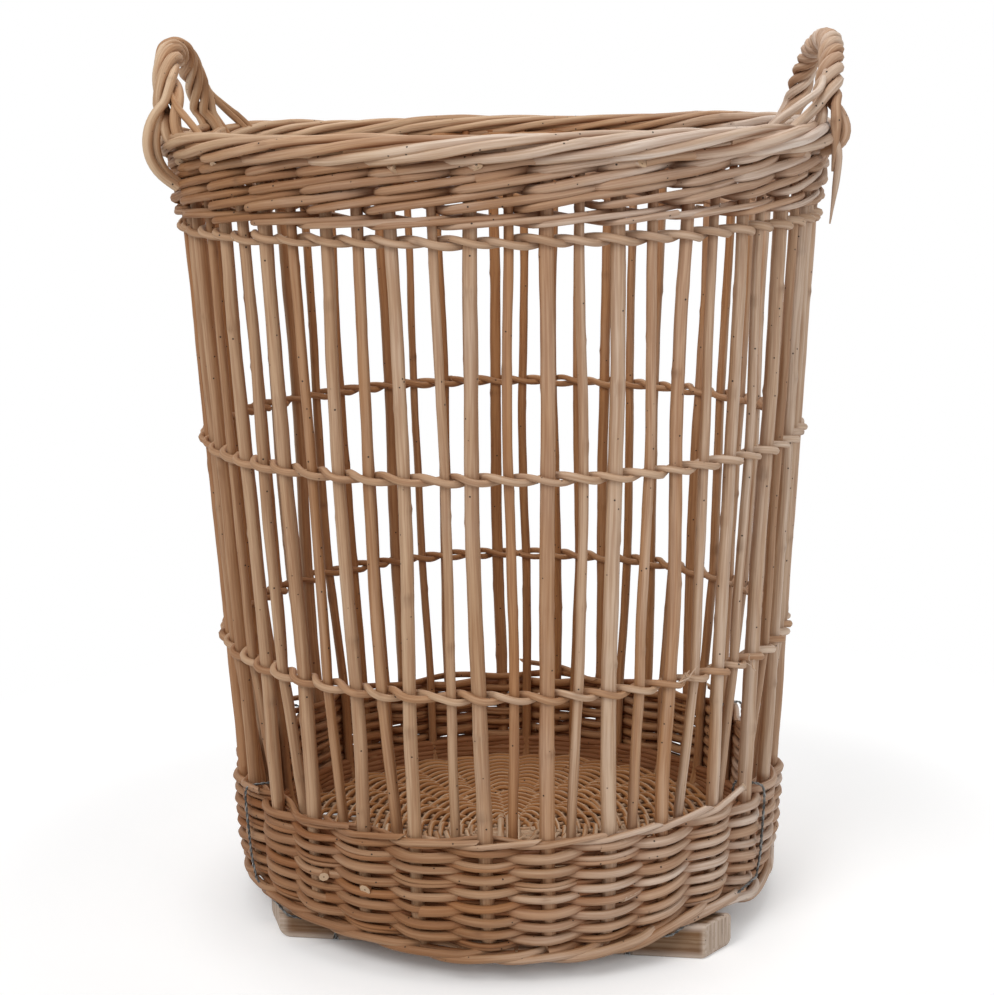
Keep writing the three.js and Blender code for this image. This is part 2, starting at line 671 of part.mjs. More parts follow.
function wireTie(name, angle, sideways, turn) {
  const down = betweenStakes(angle);
  const inner = (z) => stakeRing(z) - bandIn - bandR - FIT - wireR;
  const outer = (z) => stakeRing(z) + bandOut + bandR + FIT + wireR;
  const over = bandTop + wireR + FIT;
  const aboveRunner = bandFloor + wireR + FIT;
  const belowBand = bandFloor - 2 * WIRE_DIAMETER;
  const runnerAxis = RUNNER_TURN + turn + (sideways > 0 ? 0 : Math.PI);
  const around = (degrees) => runnerAxis - sideways * THREE.MathUtils.degToRad(degrees);
  const face = runnerFace + wireR + FIT;
  const behind = runnerBack - wireR - FIT;
  const atRunner = (y, z) => {
    const point = new THREE.Vector3(sideways * tieRunnerX, -y, z);
    return point.applyAxisAngle(new THREE.Vector3(0, 0, 1), RUNNER_TURN + turn);
  };
  const inCut = wireR + FIT / 2;
  const lowZ = bandFloor + 2 * TIE_BEND;
  const low = polar(outer(lowZ), down, lowZ);
  const corner = polar(outer(aboveRunner) + BEND_ROOM, around(TIE_CORNER_ANGLE), aboveRunner);
  const halfway = low.clone().lerp(corner, 0.5);
  const swell = (outer(bandFloor + TIE_BEND) + BEND_ROOM) / Math.hypot(halfway.x, halfway.y);
  halfway.multiply(new THREE.Vector3(swell, swell, 1));
  const points = [
    polar(inner(bandTop - TIE_TAIL), down, bandTop - TIE_TAIL),
    polar(inner(bandTop), down, over - BEND_ROOM),
    polar(outer(bandTop) - BEND_ROOM, down, over),
    polar(outer(bandTop), down, bandTop - TIE_BEND),
    polar(outer(BULGE_HEIGHT), down, BULGE_HEIGHT),
    low,
    halfway,
    corner,
    polar(outer(bandFloor) + BEND_ROOM, around(TIE_CORNER_ANGLE + TIE_CORNER_TURN), belowBand),
    atRunner(face, RUNNER_HEIGHT / 2),
    atRunner(face, inCut),
    atRunner(behind, inCut),
    atRunner(behind, RUNNER_HEIGHT - 2 * BEND_ROOM),
  ];
  return addPiece(name, sweepRod(points, wireR, 4), dullWire);
}

for (const { name, degrees, sideways, turn } of TIES) {
  wireTie(name, THREE.MathUtils.degToRad(degrees), sideways, turn);
}

export default basket;
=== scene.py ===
# Round willow baguette basket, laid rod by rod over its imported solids.
import math
from collections import namedtuple

import bpy
import numpy as np
from bpy.props import FloatProperty, FloatVectorProperty, PointerProperty
from mathutils import Matrix, Vector


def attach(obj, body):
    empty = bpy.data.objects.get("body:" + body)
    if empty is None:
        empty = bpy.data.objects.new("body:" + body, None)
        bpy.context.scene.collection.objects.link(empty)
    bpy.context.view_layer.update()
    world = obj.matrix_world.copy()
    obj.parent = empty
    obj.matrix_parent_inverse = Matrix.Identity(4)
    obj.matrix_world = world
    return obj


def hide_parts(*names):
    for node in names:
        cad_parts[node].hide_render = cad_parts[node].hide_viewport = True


bl_info = {
    "name": "Baguette Basket",
    "version": (1, 0, 0),
    "blender": (4, 5, 0),
    "location": "View3D > Sidebar > Basket",
    "description": "Builds a round willow baguette basket rod by rod over its packed solids",
    "category": "Add Mesh",
}

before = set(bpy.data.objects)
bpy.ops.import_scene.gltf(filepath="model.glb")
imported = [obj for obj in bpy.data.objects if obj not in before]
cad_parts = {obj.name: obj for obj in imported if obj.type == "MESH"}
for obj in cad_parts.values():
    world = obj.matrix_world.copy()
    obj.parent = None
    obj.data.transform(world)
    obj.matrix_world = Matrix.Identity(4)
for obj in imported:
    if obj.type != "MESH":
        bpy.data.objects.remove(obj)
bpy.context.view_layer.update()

# The basket's plan, in metres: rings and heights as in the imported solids, and how the rods lie on them
PAIRS = 29
STAKES = 2 * PAIRS
PAIR_STEP = 2 * math.pi / PAIRS
STAKE_STEP = 2 * math.pi / STAKES
FRONT = math.radians(-88.9)
FOOT_RING = 0.202
BULGE_RING = 0.211
TOP_RING = 0.2385
BULGE_Z = 0.060
LOW_ROW_Z = 0.221
MIDDLE_ROW_Z = 0.379
TOP_ROW_Z = 0.543
BAND_FLOOR = 0.0273
BAND_TOP = 0.1143
BAND_BELLY = 0.003
BAND_WEAVE_TURNS = 16
BAND_WEAVE_FOOT = 0.0098
BAND_WEAVE_HEAD = 0.0034
BAND_SPLIT_LIFT = 0.0016
FITCH_SWING = 0.0021
FITCH_WANDER = 0.0012
WALE_LOW_Z = 0.5522
WALE_FIRST_RISE = 0.0085
WALE_ROW_RISE = 0.0124
WALE_ROWS = 4
WALE_START_PAIR = 14
WALE_STROKE_RISE = 0.0152
WALE_TOP_Z = 0.5965
BORDER_RING = 0.2478
BORDER_Z = 0.60475
BORDER_ROD_PAIRS = 6.2
BORDER_HALF_WIDTH = 0.0139
BORDER_HALF_DEPTH = 0.0099
BORDER_SAG = 0.0007
BORDER_CORE_INSET = (0.0058, 0.0038)
SIDE_INSET = 0.0088
STAKE_FOOT_LIFT = 0.0052
HANDLE_RISE = 0.067
HANDLE_ROPE_START = 0.0195
HANDLE_HALF_SPAN = math.radians(21.9)
HANDLE_SQUARENESS = 0.8
STICK_Z = 0.0298
FLOOR_Z = 0.0366
FLOOR_RADIUS = 0.1889
RUNNER_TURN = math.radians(-9.2)
RUNNER_FACE = 0.1471
RUNNER_WIDTH = 0.028
RUNNER_HEIGHT = 0.027
RUNNER_HALF_FACE = 0.1645
RUNNER_HALF_BACK = 0.1815
RUNNER_SHIFT = 0.007
BOARD_STRAIGHT = 0.145
BOARD_WEAR = 0.0022
SAW_CUT_HALF = 0.0020
SAW_CUT_DEPTH = 0.0034
TIE_RUNNER_X = 0.1126
TIE_HALF = 0.0014
TIE_FIT = 0.0003
TIE_COIL = 0.0006
TIE_COIL_PITCH = 0.0095
FLOOR_ROW_OVERLAP = 0.0010
KNOT_HALF_LENGTH = 0.0030
ROD_SWELL = 0.035
ROD_OVALNESS = 0.045
BAKE_GAP = 0.004

# For each wire tie: its name, its angle in degrees, its side of the runner and the runner's turn
TIES = (
    ("front_left_tie", 209.0, -1, 0.0),
    ("front_right_tie", -30.0, 1, 0.0),
    ("back_right_tie", 29.0, -1, math.pi),
    ("back_left_tie", 150.0, 1, math.pi),
)

# How far the foot band's lower edge hangs below the runners' tops, by the angle from the runners' length:
# it hangs in front of their faces and beside their ends, and lies on them in between
BAND_HANG = (
    (0, 0.008), (9, 0.006), (25, 0.003), (31, 0.0), (45, 0.0), (50, 0.0025), (58, 0.0042), (73, 0.0065),
    (81, 0.0098), (90, 0.0125), (118, 0.0125), (127, 0.0100), (133, 0.004), (137, 0.0), (150, 0.0),
    (155, 0.006), (159, 0.012), (166, 0.012), (172, 0.010), (180, 0.008),
)

Handle = namedtuple("Handle", "middle sweep draw turns strands swell lay foot_out top_out")

# For each handle: the angle of its middle, the way it is walked, how far its back foot is drawn in, the
# turns of its rope, the number of its strands, their swell, their lay from the rope's middle, and how far
# out the rope stands from the border's ring at its feet and at its top
HANDLES = {
    "left": Handle(math.pi, -1.0, math.radians(0.9), 2.0, 5, 1.08, 0.0068, 0.0074, -0.0030),
    "right": Handle(0.0, 1.0, math.radians(2.6), 4.25, 4, 1.2, 0.0066, 0.0082, 0.0024),
}

# How a handle strand leaves the rope at its foot: distance out from the border's ring and height over
# its middle, from the rope downwards
FOOT_ROUTES = {
    "bulge": (
        (0.0178, 0.0265), (0.0236, 0.0150), (0.0266, 0.0040), (0.0258, -0.0080),
        (0.0215, -0.0170), (0.0140, -0.0245), (0.0040, -0.0310),
    ),
    "inner bulge": (
        (0.0120, 0.0265), (0.0172, 0.0150), (0.0200, 0.0040), (0.0190, -0.0085),
        (0.0150, -0.0180), (0.0080, -0.0250), (0.0000, -0.0300),
    ),
    "loop": ((0.0165, 0.0170), (0.0225, 0.0060), (0.0222, -0.0040), (0.0110, -0.0120), (-0.0040, -0.0130)),
    "hang": ((0.0165, 0.0180), (0.0163, 0.0060), (0.0160, -0.0080), (0.0145, -0.0265)),
    "top": ((0.0070, 0.0185), (0.0070, 0.0125), (0.0055, 0.0075), (0.0020, 0.0020)),
    "edge": ((0.0120, 0.0200), (0.0135, 0.0120), (0.0120, 0.0060), (0.0070, 0.0000)),
    "rest": ((0.0015, 0.0175), (-0.0030, 0.0120), (-0.0075, 0.0060), (-0.0110, -0.0020)),
}

# For each foot, the strands in turn round the rope, from the outer one on the side that the rope turns
# towards: the route, how far it fans out from the foot in degrees, and where on the rope it starts
HANDLE_FEET = {
    ("left", "front"): (
        ("bulge", 0.6, 0.02), ("top", 2.3, 0.0), ("top", 1.1, 0.0), ("edge", 0.1, 0.0),
        ("inner bulge", -0.6, 0.02),
    ),
    ("left", "back"): (
        ("top", 0.9, 0.0), ("rest", 1.4, 0.0), ("rest", 0.0, 0.0), ("rest", -1.6, 0.0), ("top", -1.4, 0.0),
    ),
    ("right", "front"): (
        ("loop", -1.4, 0.0), ("top", 1.2, 0.0), ("rest", 8.8, 0.04), ("hang", 0.9, 0.0),
    ),
    ("right", "back"): (
        ("top", -0.9, 0.0), ("rest", -0.8, 0.0), ("rest", 0.8, 0.0), ("top", 0.9, 0.0),
    ),
}


def shade(red, green, blue):
    """A colour written in screen values of 0 to 255, as Blender's linear colour."""
    values = []
    for value in (red, green, blue):
        c = value / 255.0
        values.append(c / 12.92 if c <= 0.04045 else ((c + 0.055) / 1.055) ** 2.4)
    return tuple(values)


def length(name, default, description):
    return FloatProperty(
        name=name, description=description, default=default, min=0.0005, max=0.1, unit="LENGTH", precision=4
    )


def colour(name, default, description):
    return FloatVectorProperty(
        name=name, description=description, default=default, min=0.0, max=1.0, size=3, subtype="COLOR"
    )


class BasketSizes(bpy.types.PropertyGroup):
    stake_foot: length("Stake at Foot", 0.0106, "Thickness of a main stake where it leaves the foot band")
    stake_top: length("Stake at Top", 0.0090, "Thickness of a main stake under the border")
    side_stake: length("Side Stake", 0.0074, "Thickness of the thinner stake between two main stakes")
    band_rod: length("Foot Band Rod", 0.0066, "Thickness of the rods woven round the foot")
    fitch_rod: length("Fitch Rod", 0.0053, "Thickness of the twisted rods that hold the stakes apart")
    wale_rod: length("Wale Rod", 0.0064, "Thickness of the long rods under the border")
    border_rod: length("Border Rod", 0.0074, "Thickness of the rods rolled into the border")
    handle_strand: length("Handle Strand", 0.0070, "Thickness of the rods twisted into the handles")
    floor_rod: length("Floor Rod", 0.0043, "Thickness of the rods woven across the base")
    wire: length("Wire", 0.0012, "Thickness of each of the two wires in a tie")
    unevenness: FloatProperty(
        name="Unevenness",
        description="How far stakes and rods wander from an even spacing",
        default=1.0,
        min=0.0,
        max=2.0,
        subtype="FACTOR",
    )


class BasketColours(bpy.types.PropertyGroup):
    pale_willow: colour("Pale Willow", shade(214, 188, 158), "Dry bark on the lightest rods")
    brown_willow: colour("Brown Willow", shade(170, 129, 90), "Bark on the darkest rods")
    # Also stands for painted warm shade on faces turned into the basket, and gives ruddy rods their tone
    warm_willow: colour("Warm Willow", shade(178, 124, 74), "Bark that faces the inside, still unfaded")
    faded_willow: colour("Faded Willow", shade(218, 202, 189), "Grey bloom on rods that stood in the light")
    # Painted shade between rods and in grooves is multiplied in with this colour, and so is a darker brown
    # towards the left
    shade_and_left_brown: colour("Shade and Left Brown", shade(200, 168, 142), "Stain in sheltered places and on the dark side")
    knot_brown: colour("Knot Brown", shade(92, 62, 42), "Scars where side shoots were cut off")
    cut_wood: colour("Cut Wood", shade(192, 163, 133), "Fresh wood at the cut end of a rod")
    runner_brown: colour("Runner Brown", shade(118, 84, 54), "Wood of the runners")
    runner_grey: colour("Runner Grey", shade(152, 126, 98), "Weathered skin of the runners")
    wire_grey: colour("Wire Grey", shade(140, 141, 140), "Dull zinc skin of the tie wire")
    backdrop: colour("Backdrop", (0.84, 0.84, 0.84), "Floor on which the basket stands")


# Shader node helpers

def add_node(tree, kind, **settings):
    node = tree.nodes.new(kind)
    for key, value in settings.items():
        setattr(node, key, value)
    return node


def plug(tree, node, inputs):
    """Fill a node's inputs by name or number, with a value or from another node's output."""
    for key, value in inputs.items():
        socket = node.inputs[key]
        if isinstance(value, bpy.types.NodeSocket):
            tree.links.new(value, socket)
        else:
            socket.default_value = value
    return node


def maths(tree, operation, first, second, clamp=False):
    node = add_node(tree, "ShaderNodeMath", operation=operation, use_clamp=clamp)
    return plug(tree, node, {0: first, 1: second}).outputs[0]


def times(tree, first, second, clamp=False):
    return maths(tree, "MULTIPLY", first, second, clamp)


def plus(tree, first, second, clamp=False):
    return maths(tree, "ADD", first, second, clamp)


def minus(tree, first, second, clamp=False):
    return maths(tree, "SUBTRACT", first, second, clamp)


def blend_colours(tree, share, first, second, mode="MIX"):
    node = add_node(tree, "ShaderNodeMix", data_type="RGBA", blend_type=mode, clamp_factor=True)
    return plug(tree, node, {0: share, 6: first, 7: second}).outputs[2]


def ramp(tree, value, low, high, out_low=0.0, out_high=1.0):
    node = add_node(tree, "ShaderNodeMapRange", interpolation_type="SMOOTHSTEP")
    return plug(tree, node, {0: value, 1: low, 2: high, 3: out_low, 4: out_high}).outputs[0]


def noise(tree, place, stretch, detail=3.0, roughness=0.55, scale=1.0):
    scaled = add_node(tree, "ShaderNodeVectorMath", operation="MULTIPLY")
    plug(tree, scaled, {0: place, 1: stretch})
    node = add_node(tree, "ShaderNodeTexNoise", noise_dimensions="3D")
    inputs = {"Vector": scaled.outputs[0], "Scale": scale, "Detail": detail, "Roughness": roughness}
    return plug(tree, node, inputs).outputs[0]


def bump(tree, height, strength, distance):
    inputs = {"Strength": strength, "Distance": distance, "Height": height}
    return plug(tree, add_node(tree, "ShaderNodeBump"), inputs).outputs[0]


def long_grain(group, given):
    """Fine streaks and slow blotches that run along a rod or a board."""
    across, along, place = given["Streaks Across"], given["Streaks Along"], given["Place"]

    def stretched(share):
        node = add_node(group, "ShaderNodeCombineXYZ")
        wide = times(group, across, share)
        return plug(group, node, {0: times(group, along, share), 1: wide, 2: wide}).outputs[0]

    fine = noise(group, place, stretched(1.0), detail=2.0)
    broad = noise(group, place, stretched(0.28), detail=3.0)
    blotches = noise(group, place, stretched(0.1), detail=4.0, roughness=0.6)
    streaks = plus(group, times(group, fine, 0.55), times(group, broad, 0.45))
    return {
        "Streaks": ramp(group, streaks, 0.38, 0.62),
        "Blotches": ramp(group, blotches, 0.36, 0.64),
        "Height": plus(group, streaks, times(group, blotches, 0.6)),
    }


def insect_holes(group, given):
    """Small round holes that beetles leave in old willow and boards."""
    spacing = given["Spacing"]
    scaled = add_node(group, "ShaderNodeVectorMath", operation="SCALE")
    plug(group, scaled, {"Vector": given["Place"], "Scale": maths(group, "DIVIDE", 1.0, spacing)})
    cells = add_node(group, "ShaderNodeTexVoronoi", voronoi_dimensions="3D", feature="F1")
    plug(group, cells, {"Vector": scaled.outputs[0], "Scale": 1.0, "Randomness": 1.0})
    reach = times(group, cells.outputs["Distance"], spacing)
    return {"Holes": ramp(group, minus(group, reach, given["Hole Radius"]), -0.00015, 0.0001, 1.0, 0.0)}


def bleaching(group, given):
    """Where light and air have bleached the basket: most on the outside, high up and to one side."""
    geometry = add_node(group, "ShaderNodeNewGeometry")
    position = geometry.outputs["Position"]
    x, y, z = plug(group, add_node(group, "ShaderNodeSeparateXYZ"), {0: position}).outputs
    flat = plug(group, add_node(group, "ShaderNodeCombineXYZ"), {0: x, 1: y, 2: 0.0})
    outward = add_node(group, "ShaderNodeVectorMath", operation="NORMALIZE")
    plug(group, outward, {0: flat.outputs[0]})
    facing = add_node(group, "ShaderNodeVectorMath", operation="DOT_PRODUCT")
    facing = plug(group, facing, {0: outward.outputs[0], 1: geometry.outputs["Normal"]}).outputs["Value"]
    patches = noise(group, position, (1.0, 1.0, 1.0), scale=given["Patch Size"])
    lean = plus(group, times(group, x, 1.9), times(group, z, 0.45))
    outside = times(group, ramp(group, facing, -0.2, 0.75), 0.35)
    level = plus(group, plus(group, lean, patches), outside)
    return {
        "Faded": times(group, ramp(group, level, 0.70, 1.30), given["Amount"], clamp=True),
        # Faces turned into the basket: their warm bark is partly unfaded and partly painted warm shade
        "Inward": ramp(group, facing, 0.25, -0.7),
        # Grows towards the left of the basket, where the willow is made a darker brown
        "Dark Side": ramp(group, x, 0.24, -0.26),
    }


# Each shader node group: its inputs, with None for a place, its outputs and what builds it
GROUPS = {
    "Long Grain": (
        {"Place": None, "Streaks Across": 700.0, "Streaks Along": 22.0},
        ("Streaks", "Blotches", "Height"),
        long_grain,
    ),
    "Insect Holes": ({"Place": None, "Spacing": 0.014, "Hole Radius": 0.0007}, ("Holes",), insect_holes),
    "Fading": ({"Amount": 0.6, "Patch Size": 9.0}, ("Faded", "Inward", "Dark Side"), bleaching),
}


def place_group(tree, name, inputs):
    """The outputs of a shader node group, which is made when it is first asked for."""
    group = bpy.data.node_groups.get(name)
    if group is None:
        sockets, results, build = GROUPS[name]
        group = bpy.data.node_groups.new(name, "ShaderNodeTree")
        for label, default in sockets.items():
            kind = "NodeSocketVector" if default is None else "NodeSocketFloat"
            socket = group.interface.new_socket(name=label, in_out="INPUT", socket_type=kind)
            if default is not None:
                socket.default_value = default
        for label in results:
            group.interface.new_socket(name=label, in_out="OUTPUT", socket_type="NodeSocketFloat")
        start = add_node(group, "NodeGroupInput")
        plug(group, add_node(group, "NodeGroupOutput"), build(group, start.outputs))
    return plug(tree, add_node(tree, "ShaderNodeGroup", node_tree=group), inputs).outputs


# Materials

BARK_HOLE = (0.012, 0.008, 0.006)
BOARD_HOLE = (0.015, 0.01, 0.008)
WIRE_STAIN = (0.07, 0.066, 0.062)


def opaque(values):
    return (values[0], values[1], values[2], 1.0)


def paint(tree, share, under, colour, mode="MIX"):
    return blend_colours(tree, share, under, opaque(colour), mode)


def rod_attributes(tree):
    """A point's place in its rod, the rod's tone, and the marks: knot, cut end and painted shade."""
    place = add_node(tree, "ShaderNodeAttribute", attribute_name="place").outputs["Vector"]
    tone = add_node(tree, "ShaderNodeAttribute", attribute_name="tone").outputs["Fac"]
    marks = add_node(tree, "ShaderNodeAttribute", attribute_name="marks").outputs["Vector"]
    parts = plug(tree, add_node(tree, "ShaderNodeSeparateXYZ"), {0: marks})
    return place, tone, *parts.outputs


def clear_tree(owner):
    owner.use_nodes = True
    owner.node_tree.nodes.clear()
    return owner.node_tree


def new_material(name, viewport):
    material = bpy.data.materials.new(name)
    tree = clear_tree(material)
    material.diffuse_color = opaque(viewport)
    shader = add_node(tree, "ShaderNodeBsdfPrincipled")
    plug(tree, add_node(tree, "ShaderNodeOutputMaterial"), {0: shader.outputs[0]})
    return material, tree, shader


# How far each kind of willow is faded, warm where it faces inwards (partly unfaded bark, partly painted warm
# shade), brown, and darkened towards the left
WILLOWS = {
    "Stake Willow": (0.45, 0.75, 0.16, 0.45),
    "Weaver Willow": (0.65, 0.5, 0.38, 0.7),
    "Fitch Willow": (0.45, 0.7, 0.04, 0.5),
    "Wale Willow": (0.62, 0.45, 0.64, 0.4),
    "Border Willow": (0.95, 0.22, -0.16, 0.12),
    "Handle Willow": (0.65, 0.45, -0.03, 0.0),
    "Base Willow": (0.2, 1.1, -0.2, 0.0),
}


def willow(name, colours):
    """Dry unpeeled willow: tone from rod to rod, grain, knots, insect holes, bloom and cut ends."""
    if name in bpy.data.materials:
        return bpy.data.materials[name]
    fading, warmth, brownness, left_darkening = WILLOWS[name]
    material, tree, shader = new_material(name, colours.pale_willow)
    place, tone, knot, cut, painted_shade = rod_attributes(tree)
    grain = place_group(tree, "Long Grain", {"Place": place})
    streaks, blotches = grain["Streaks"], grain["Blotches"]
    bleach = place_group(tree, "Fading", {"Amount": fading})
    level = plus(tree, times(tree, tone, 0.52), times(tree, blotches, 0.52))
    level = minus(tree, level, brownness, clamp=True)
    bark = paint(tree, level, opaque(colours.brown_willow), colours.pale_willow)
    # Warm bark on faces turned inwards, partly unfaded and partly painted warm shade, and on ruddy rods
    inside = times(tree, bleach["Inward"], warmth)
    ruddy = maths(tree, "MAXIMUM", inside, ramp(tree, tone, 0.0, 0.4, 0.42, 0.05), clamp=True)
    bark = paint(tree, ruddy, bark, colours.warm_willow)
    bloom = times(tree, bleach["Faded"], ramp(tree, blotches, 0.05, 0.9, 0.45, 1.0))
    bloom = times(tree, bloom, ramp(tree, tone, 0.0, 1.0, 0.55, 1.3), clamp=True)
    bark = paint(tree, bloom, bark, colours.faded_willow)
    streaked = times(tree, minus(tree, 1.0, streaks), 0.42)
    bark = paint(tree, streaked, bark, colours.brown_willow, "MULTIPLY")
    # Painted shade between rods and in grooves, and a darker brown towards the left, multiplied into the bark
    shade_and_left = maths(tree, "MAXIMUM", times(tree, bleach["Dark Side"], left_darkening), painted_shade, clamp=True)
    bark = paint(tree, shade_and_left, bark, colours.shade_and_left_brown, "MULTIPLY")
    bark = paint(tree, times(tree, knot, 0.75), bark, colours.knot_brown)
    holes = place_group(tree, "Insect Holes", {"Place": place, "Spacing": 0.0088})
    holed = times(tree, holes["Holes"], maths(tree, "LESS_THAN", cut, 0.01))
    bark = paint(tree, times(tree, holed, 0.92), bark, BARK_HOLE)
    wood = paint(tree, ramp(tree, cut, 0.9, 0.97), opaque(colours.cut_wood), colours.knot_brown)
    bark = blend_colours(tree, maths(tree, "GREATER_THAN", cut, 0.01), bark, wood)
    height = minus(tree, grain["Height"], times(tree, holed, 3.0))
    inputs = {
        "Base Color": bark,
        "Roughness": ramp(tree, streaks, 0.0, 1.0, 0.72, 0.56),
        "Normal": bump(tree, height, 0.55, 0.0004),
        "Specular IOR Level": 0.32,
    }
    plug(tree, shader, inputs)
    return material


def runner_board(colours):
    """Weathered softwood with open grain, cracks and worn pale edges."""
    material, tree, shader = new_material("Runner Wood", colours.runner_brown)
    place, _, edge, cut, _ = rod_attributes(tree)
    grain = place_group(tree, "Long Grain", {"Place": place, "Streaks Across": 420.0, "Streaks Along": 9.0})
    streaks = grain["Streaks"]
    wood = paint(tree, streaks, opaque(colours.runner_brown), colours.runner_grey)
    wood = paint(tree, times(tree, grain["Blotches"], 0.5), wood, colours.brown_willow, "MULTIPLY")
    wood = paint(tree, times(tree, edge, 0.55), wood, colours.faded_willow)
    soft_streaks = ramp(tree, streaks, 0.0, 1.0, 0.40, 0.75)
    end_wood = paint(tree, soft_streaks, opaque(colours.runner_grey), colours.faded_willow)
    wood = blend_colours(tree, times(tree, cut, 0.8), wood, end_wood)
    cracks = ramp(tree, noise(tree, place, (7.0, 330.0, 330.0), detail=1.0), 0.68, 0.72)
    wood = paint(tree, times(tree, cracks, 0.75), wood, colours.knot_brown, "MULTIPLY")
    holes = place_group(tree, "Insect Holes", {"Place": place, "Spacing": 0.022})
    wood = paint(tree, holes["Holes"], wood, BOARD_HOLE)
    height = minus(tree, grain["Height"], times(tree, cracks, 1.5))
    height = times(tree, height, minus(tree, 1.0, times(tree, cut, 0.75)))
    inputs = {
        "Base Color": wood,
        "Roughness": ramp(tree, streaks, 0.0, 1.0, 0.86, 0.72),
        "Normal": bump(tree, height, 0.8, 0.0006),
    }
    plug(tree, shader, inputs)
    return material


def tie_wire(colours):
    """Dull zinc wire with dark patches."""
    material, tree, shader = new_material("Tie Wire", colours.wire_grey)
    patches = noise(tree, rod_attributes(tree)[0], (160.0, 160.0, 160.0))
    skin = paint(tree, ramp(tree, patches, 0.35, 0.65), opaque(colours.wire_grey), WIRE_STAIN)
    rough = ramp(tree, patches, 0.3, 0.7, 0.38, 0.62)
    plug(tree, shader, {"Base Color": skin, "Metallic": 0.55, "Roughness": rough})
    return material


# Rod paths

def polar(radius, angle, z):
    radius, angle, z = np.broadcast_arrays(radius, angle, z)
    return np.stack([radius * np.cos(angle), radius * np.sin(angle), z], axis=-1).astype(float)


def unit(vectors):
    return vectors / np.linalg.norm(vectors, axis=1)[:, None]


def spans(points):
    """Distances from each point of a line to the next."""
    return np.linalg.norm(np.diff(points, axis=0), axis=1)


def shade_between_strokes(points):
    """How much painted shade points get between the strokes of the foot band or the wale."""
    open_outside, open_inside, deep = 0.0078, 0.0094, 0.009
    out = np.hypot(points[..., 0], points[..., 1]) - stake_ring(points[..., 2])
    woven = (points[..., 2] < BAND_TOP - 0.002) | (points[..., 2] > WALE_LOW_Z)
    depth = np.where(out > 0.0, open_outside - out, open_inside + out)
    return np.clip(depth / deep, 0.0, 1.0) * woven


def shade_between_border_rods(points):
    """How much painted shade points get in the grooves between the rods of the border."""
    out = (np.hypot(points[..., 0], points[..., 1]) - BORDER_RING) / BORDER_HALF_WIDTH
    angle = np.arctan2(points[..., 1], points[..., 0])
    up = (points[..., 2] - BORDER_Z + BORDER_SAG - border_lift(angle)) / (BORDER_HALF_DEPTH + BORDER_SAG)
    return 0.9 * np.clip((0.90 - np.hypot(out, up)) / 0.26, 0.0, 1.0)


def shade_between_strands(centre, lay):
    """A measure of painted shade for points in the grooves of a rope round a middle line."""
    def shade_measure(points):
        gaps = np.linalg.norm(points[:, :, None, :] - centre[None, None, ::3, :], axis=3).min(axis=2)
        return 0.9 * np.clip((lay + 0.0022 - gaps) / 0.0042, 0.0, 1.0)
    return shade_measure


def stake_ring(z):
    """Radius of the ring of stakes at a height."""
    z = np.asarray(z, dtype=float)
    below = np.clip((BULGE_Z - z) / (BULGE_Z - BAND_FLOOR), 0.0, 1.0)
    low = BULGE_RING - (BULGE_RING - FOOT_RING) * below**2.2
    high = BULGE_RING + (TOP_RING - BULGE_RING) * (z - BULGE_Z) / (TOP_ROW_Z - BULGE_Z)
    return np.where(z < BULGE_Z, low, high)


def band_edge(angle):
    """Height of the foot band's lower edge."""
    degrees = np.degrees(np.asarray(angle) - RUNNER_TURN) % 180.0
    return BAND_FLOOR - np.interp(degrees, *np.transpose(BAND_HANG))


def border_lift(angle):
    """How far the border stands higher at its right back, and lower in the middle of its back."""
    degrees = np.degrees(np.asarray(angle)) % 360.0
    right_back = 0.0030 * np.exp(-(((degrees - 42.0) / 16.0) ** 2))
    return right_back - 0.0010 * np.exp(-(((degrees - 92.0) / 28.0) ** 2))


def oval_turn(share, wide, deep):
    """Angle round an oval at a share of the way along its outline."""
    turn = np.linspace(0.0, 2 * math.pi, 241)
    run = np.hypot(wide * np.sin(turn), deep * np.cos(turn))
    along = np.concatenate([[0.0], np.cumsum((run[1:] + run[:-1]) / 2)])
    whole = np.floor(share)
    return 2 * math.pi * whole + np.interp(share - whole, along / along[-1], turn)


def ripple(along, wave, random):
    """Slow seeded swing between about -1 and 1."""
    turn = random.uniform(0.0, 2 * math.pi, 3)
    swing = np.sin(2 * math.pi * along / wave + turn[0])
    swing = swing + 0.6 * np.sin(4.4 * math.pi * along / wave + turn[1])
    return (swing + 0.4 * np.sin(1.1 * math.pi * along / wave + turn[2])) / 2.0


# How each stake wanders sideways from its place
drift_random = np.random.default_rng(29)
DRIFT_WAVE = drift_random.uniform(0.30, 0.62, STAKES)
DRIFT_TURN = drift_random.uniform(0.0, 2 * math.pi, STAKES)
DRIFT_REACH = drift_random.uniform(0.0006, 0.0026, STAKES)
DRIFT_LEAN = drift_random.normal(0.0, 0.0011, STAKES)


def stake_drift(k, z):
    k = np.asarray(k, dtype=int) % STAKES
    return DRIFT_LEAN[k] + DRIFT_REACH[k] * np.sin(2 * math.pi * z / DRIFT_WAVE[k] + DRIFT_TURN[k])


def stake_angle(count, z, unevenness):
    """Angle of the stake with that number at a height, or between two stakes for a broken number."""
    count = np.asarray(count, dtype=float)
    z = np.asarray(z, dtype=float)
    first = np.floor(count)
    share = count - first
    sideways = (1 - share) * stake_drift(first, z) + share * stake_drift(first + 1, z)
    return FRONT + count * STAKE_STEP + unevenness * sideways / stake_ring(z)


def even_steps(points, step):
    """A line resampled at even steps, and how far along it each new point is."""
    along = np.concatenate([[0.0], np.cumsum(spans(points))])
    count = max(3, int(round(along[-1] / step)) + 1)
    at = np.linspace(0.0, along[-1], count)
    return np.stack([np.interp(at, along, points[:, axis]) for axis in range(3)], axis=1), at


